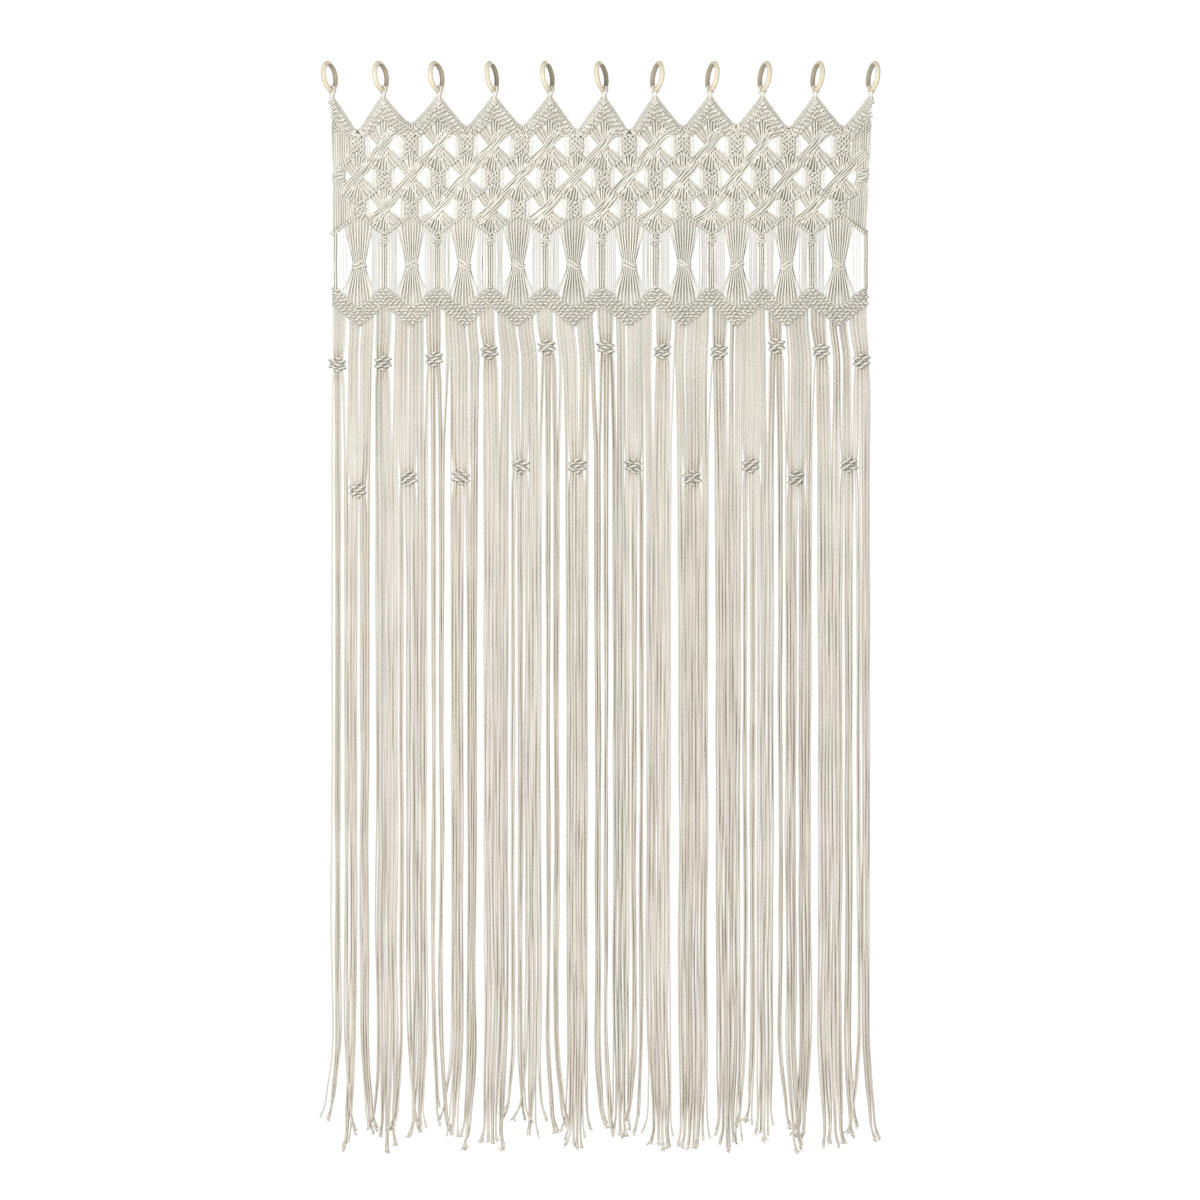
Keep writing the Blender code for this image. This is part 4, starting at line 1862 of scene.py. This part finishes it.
    def tips(self, x: Array, z: Array, dealt: Dealt) -> Array:
        """Draws each tress in at its foot, lets its outer cords peel away, and ends the rest in brushes.

        Args:
            x, z: the cords so far.
            dealt: how they are dealt out.

        Returns:
            X of the cords.
        """
        dice, foot = self.knots.dice, dealt.foot[:, None]
        x = x.copy()
        for number, tress in enumerate(self.tresses):
            here = np.flatnonzero(dealt.tress == number)
            wide = min(max((tress.width - 0.008) / 0.02, 0.0), 1.0)
            middle = tress.x + dice.normal(0, 0.0012 + 0.0018 * wide)
            x[here] += (middle - x[here]) * 0.14 * wide * ramp(z[here], -1.76, 0.21)
            lean = (1 if dice.random() < 0.5 else -1) * dice.uniform(0.35, 1.0) * (0.017 - 0.013 * wide)
            x[here] += lean * np.clip((-1.78 - z[here]) / 0.18, 0, 1) ** 1.2
            for bunch in np.unique(dealt.bunch[here]):
                few = here[dealt.bunch[here] == bunch]
                end = x[few, -1].mean()
                x[few] += (end - x[few]) * self.closing * ramp(z[few], foot[few] + 0.100, 0.095)
                out = np.clip((end - middle) / max(tress.width / 2, 0.006), -1, 1) + dice.normal(0, 0.25)
                x[few] += out * 0.0050 * np.clip(1 - (z[few] - foot[few]) / 0.028, 0, 1) ** 2
        return x + dealt.peel[:, None] * np.clip((foot + self.peeled - z) / self.peeled, 0, 1) ** 1.4

    def frays(self, spool: Spool, lines: Array, strands: int = 4, claws: float = 0.2) -> None:
        """Opens the end of every cord into a small tuft.

        Args:
            spool: where the tufts go.
            lines: the cords.
            strands: how many strands a tuft has.
            claws: the share of the tufts that open wide.
        """
        dice = self.knots.dice
        ends = lines[:, -1]
        way = unit(lines[:, -1] - lines[:, -2])
        wide = np.where(dice.random((len(ends), 1)) < claws, 2.4, 1.0)
        for _ in range(strands):
            spread = dice.normal(0, 0.0011, ends.shape) * (1.0, 0.7, 0.25) * wide
            reach = dice.uniform(0.005, 0.009, (len(ends), 1)) * (0.7 + 0.3 * wide)
            root = ends - way * 0.004 + dice.normal(0, 0.0004, ends.shape)
            guide = np.stack(
                [
                    root,
                    ends + way * reach * 0.3 + spread * 0.25,
                    ends + way * reach * 0.7 + spread * 0.75,
                    ends + way * reach + spread * 1.35,
                ],
                1,
            )
            spool.wind(
                through(guide, 5),
                np.array([0.0015, 0.0017, 0.0016, 0.0013, 0.0009]),
                self.knots.tones(len(ends), 0.05),
                4,
            )

    def tie(self, ties: Spool, knot: FringeKnot) -> None:
        """Ties one small diamond of square knots: by turns one slanted strand and two, with shade between."""
        hand = 1 if self.knots.dice.random() < 0.7 else -1
        for row, many in enumerate((1, 2, 1, 2, 1)):
            for column in range(many):
                away = (column - (many - 1) / 2) * 0.0164
                half = 0.0068 if many == 2 or row == 2 else 0.0050
                place = np.array([(knot.x + away, knot.z + (2 - row) * 0.0056 + hand * away * 0.09)])
                self.knots.hitches(
                    ties,
                    place,
                    np.array([hand * math.radians(5)]),
                    half=half,
                    depth=0.0080,
                    thick=1.16,
                    steps=14,
                    sides=6,
                    loose=1.3,
                )
        across = np.linspace(-0.0120, 0.0120, 8)
        self.knots.carriers(
            ties,
            knot.x + across,
            knot.z + 0.0125 - 0.7 * np.abs(across),
            knot.z - 0.0125 + 0.7 * np.abs(across),
            0.62,
            0.0018,
            -0.0036,
        )

    def build(self, left: Spool, right: Spool, ties: Spool, tufts: Spool) -> None:
        """Hangs the fringe onto its spools."""
        lines = self.lines()
        tones = self.knots.tones(self.cords, 0.065)
        half = self.cords // 2
        left.wind(lines[:half], CORD / 2, tones[:half], 6)
        right.wind(lines[half:], CORD / 2, tones[half:], 6)
        for knot in self.upper_knots + self.lower_knots:
            self.tie(ties, knot)
        self.frays(tufts, lines)


# ---------------------------------------------------------------- studio


@dataclass
class Studio:
    """A pale floor below the curtain, a white surround and soft lights.

    Attributes:
        floor_z, floor_radius, floor_thick: height and size of the floor.
        view_width: how much of the object's plane the camera takes in.
        middle: what it looks at, as (x, z).
        away: how far in front of the curtain it stands.
        lit_z: height of what the lamps face.
    """

    floor_z: float = -2.10
    floor_radius: float = 2.8
    floor_thick: float = 0.04
    view_width: float = 2.202
    middle: tuple[float, float] = (-0.001, -0.980)
    away: float = 6.0
    lit_z: float = -0.9

    def floor(self) -> None:
        """Lays the floor: a disc with a soft bevelled rim."""
        bpy.ops.object.select_all(action="DESELECT")
        place = (0, 0, self.floor_z - self.floor_thick / 2)
        bpy.ops.mesh.primitive_cylinder_add(
            vertices=96, radius=self.floor_radius, depth=self.floor_thick, location=place
        )
        floor = bpy.context.active_object
        floor.name = "studio_floor"
        bevel = floor.modifiers.new("rim", "BEVEL")
        bevel.width, bevel.segments = 0.01, 2
        bpy.ops.object.modifier_apply(modifier=bevel.name)
        floor.data.transform(Matrix.Translation(floor.location))
        floor.location = (0, 0, 0)
        paint = bpy.data.materials.new("studio_white")
        paint.use_nodes = True
        wiring = Wiring(paint.node_tree)
        noise = wiring.node("TexNoise")
        noise.inputs["Scale"].default_value = 3.0
        wiring.join(wiring.node("TexCoord").outputs["Object"], noise.inputs["Vector"])
        skin = paint.node_tree.nodes["Principled BSDF"]
        wiring.join(
            wiring.blend(noise.outputs[0], linear(244, 243, 240), linear(248, 247, 245)),
            skin.inputs["Base Color"],
        )
        skin.inputs["Roughness"].default_value = 0.8
        floor.data.materials.append(paint)

    def surround(self) -> None:
        """Lights the scene from all round, with pure white behind the object."""
        world = bpy.data.worlds.new("studio_surround")
        world.use_nodes = True
        bpy.context.scene.world = world
        wiring = Wiring(world.node_tree)
        world.node_tree.nodes.clear()
        seen, lit = wiring.node("Background"), wiring.node("Background")
        seen.inputs[0].default_value = (1.0, 1.0, 1.0, 1.0)
        seen.inputs[1].default_value = 1.05
        lit.inputs[0].default_value = (1.0, 0.992, 0.975, 1.0)
        lit.inputs[1].default_value = 0.36
        mix, out = wiring.node("MixShader"), wiring.node("OutputWorld")
        wiring.join(wiring.node("LightPath").outputs["Is Camera Ray"], mix.inputs[0])
        wiring.join(lit.outputs[0], mix.inputs[1])
        wiring.join(seen.outputs[0], mix.inputs[2])
        wiring.join(mix.outputs[0], out.inputs[0])

    def lamp(self, name: str, place: tuple[float, float, float], size: float, power: float) -> None:
        """Hangs a soft lamp that faces the curtain.

        Args:
            name: its name.
            place: where it is.
            size: its side.
            power: its power, watts.
        """
        data = bpy.data.lights.new(name, "AREA")
        data.size, data.energy = size, power
        data.color = (1.0, 0.985, 0.96)
        lamp = bpy.data.objects.new(name, data)
        lamp.location = place
        aim = Vector((0, 0, self.lit_z)) - Vector(place)
        lamp.rotation_euler = aim.to_track_quat("-Z", "Y").to_euler()
        lamp.visible_camera = False
        bpy.context.scene.collection.objects.link(lamp)

    def camera(self) -> None:
        """Sets the camera square on to the curtain."""
        data = bpy.data.cameras.new("camera")
        data.type = "ORTHO"
        data.ortho_scale = self.view_width
        data.clip_end = 50
        camera = bpy.data.objects.new("camera", data)
        camera.location = (self.middle[0], -self.away, self.middle[1])
        camera.rotation_euler = (math.pi / 2, 0, 0)
        bpy.context.scene.collection.objects.link(camera)
        bpy.context.scene.camera = camera

    def build(self) -> None:
        """Sets up the whole studio."""
        self.floor()
        self.surround()
        self.lamp("key", (-1.7, -4.4, 0.9), 1.2, 150)
        self.lamp("fill", (2.6, -3.4, -1.6), 2.0, 28)
        self.lamp("back", (1.6, 4.2, 0.6), 1.4, 110)
        self.camera()
        bpy.context.scene.view_settings.view_transform = "Standard"


# ---------------------------------------------------------------- the curtain


@dataclass
class Curtain:
    """The whole curtain: rings, net and fringe.

    Attributes:
        comb: the corners of the plain fringe.
        between_rows: z between the fringe's upper and lower knots.
        net_finish, fringe_finish, tuft_finish: what the cord is dressed in.
        made: the pieces so far, by name.
    """

    plan: NetPlan
    knots: Knots
    rings: WoodenRings
    comb: Array
    between_rows: float = -0.65
    net_finish: CottonFinish = CottonFinish("cotton_cord_net")
    fringe_finish: CottonFinish = CottonFinish("cotton_cord_fringe", light=(234, 229, 218), painted_flank_shade=0.79)
    tuft_finish: CottonFinish = CottonFinish(
        "cotton_frayed",
        light=(236, 232, 223),
        lower_colour=(242, 237, 228),
        pitch=0.02,
        relief=0.0002,
        fibre=0.6,
        painted_flank_shade=0.9,
    )
    made: dict[str, bpy.types.Object] = field(default_factory=dict)

    def piece(self, spool: Spool, finish: CottonFinish, node: str) -> bpy.types.Object:
        """Makes a piece, and puts it in place of a plain CAD node.

        Args:
            spool: its cord.
            finish: its finish.
            node: the node.

        Returns:
            The piece.
        """
        made = spool.make(finish.material())
        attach(made, "root")
        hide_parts(node)
        self.made[spool.name] = made
        return made

    def build(self) -> None:
        """Makes every piece."""
        self.rings.build()
        cords, heading, clusters, lines, gathered, band = (
            Spool(name, self.plan.drape)
            for name in (
                "net_cords",
                "net_heading_knots",
                "net_clusters",
                "net_hitch_lines",
                "net_gathered",
                "net_zigzag",
            )
        )
        Heading(self.plan, self.knots, self.rings).build(heading)
        Lattice(self.plan, self.knots).build(cords, clusters, lines)
        GatheredBand(self.plan, self.knots).build(gathered, lines)
        ZigzagBand(self.plan, self.knots).build(band)
        net = self.piece(cords, self.net_finish, "net_heading")
        tied = [
            self.piece(spool, self.net_finish, "net_heading")
            for spool in (heading, clusters, lines, gathered, band)
        ]
        left, right, ties, tufts = (
            Spool(name, self.plan.drape)
            for name in ("fringe_left", "fringe_right", "fringe_knots", "fringe_tufts")
        )
        high = self.comb[:, 2] > self.between_rows
        Fringe(
            self.plan,
            self.knots,
            Tress.read(self.comb),
            FringeKnot.read(self.comb[high]),
            FringeKnot.read(self.comb[~high]),
        ).build(left, right, ties, tufts)
        hung = [self.piece(spool, self.fringe_finish, "fringe_comb") for spool in (left, right)]
        knotted = self.piece(ties, self.net_finish, "fringe_comb")
        frayed = self.piece(tufts, self.tuft_finish, "fringe_comb")


def main() -> None:
    """Builds the curtain and its studio, and reports each piece."""
    logging.basicConfig(level=logging.INFO, format="%(name)s: %(message)s")
    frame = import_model()
    nodes = frame["nodes"]
    rings = WoodenRings(
        [
            tuple(Vector(corner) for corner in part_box(name))
            for name in sorted(nodes) if name.startswith("ring_")
        ]
    )
    plan = NetPlan.from_frame(rings.middles(), corners(nodes["net_heading"]))
    LOG.info("net from %.3f to %.3f, %d peaks", plan.middles[0], plan.middles[-1], plan.peaks)
    curtain = Curtain(plan, Knots(np.random.default_rng(RNG_SEED)), rings, corners(nodes["fringe_comb"]))
    curtain.build()
    Studio().build()
    for name, piece in curtain.made.items():
        LOG.info("%s: %d triangles", name, sum(len(face.vertices) - 2 for face in piece.data.polygons))


if __name__ == "__main__":
    main()
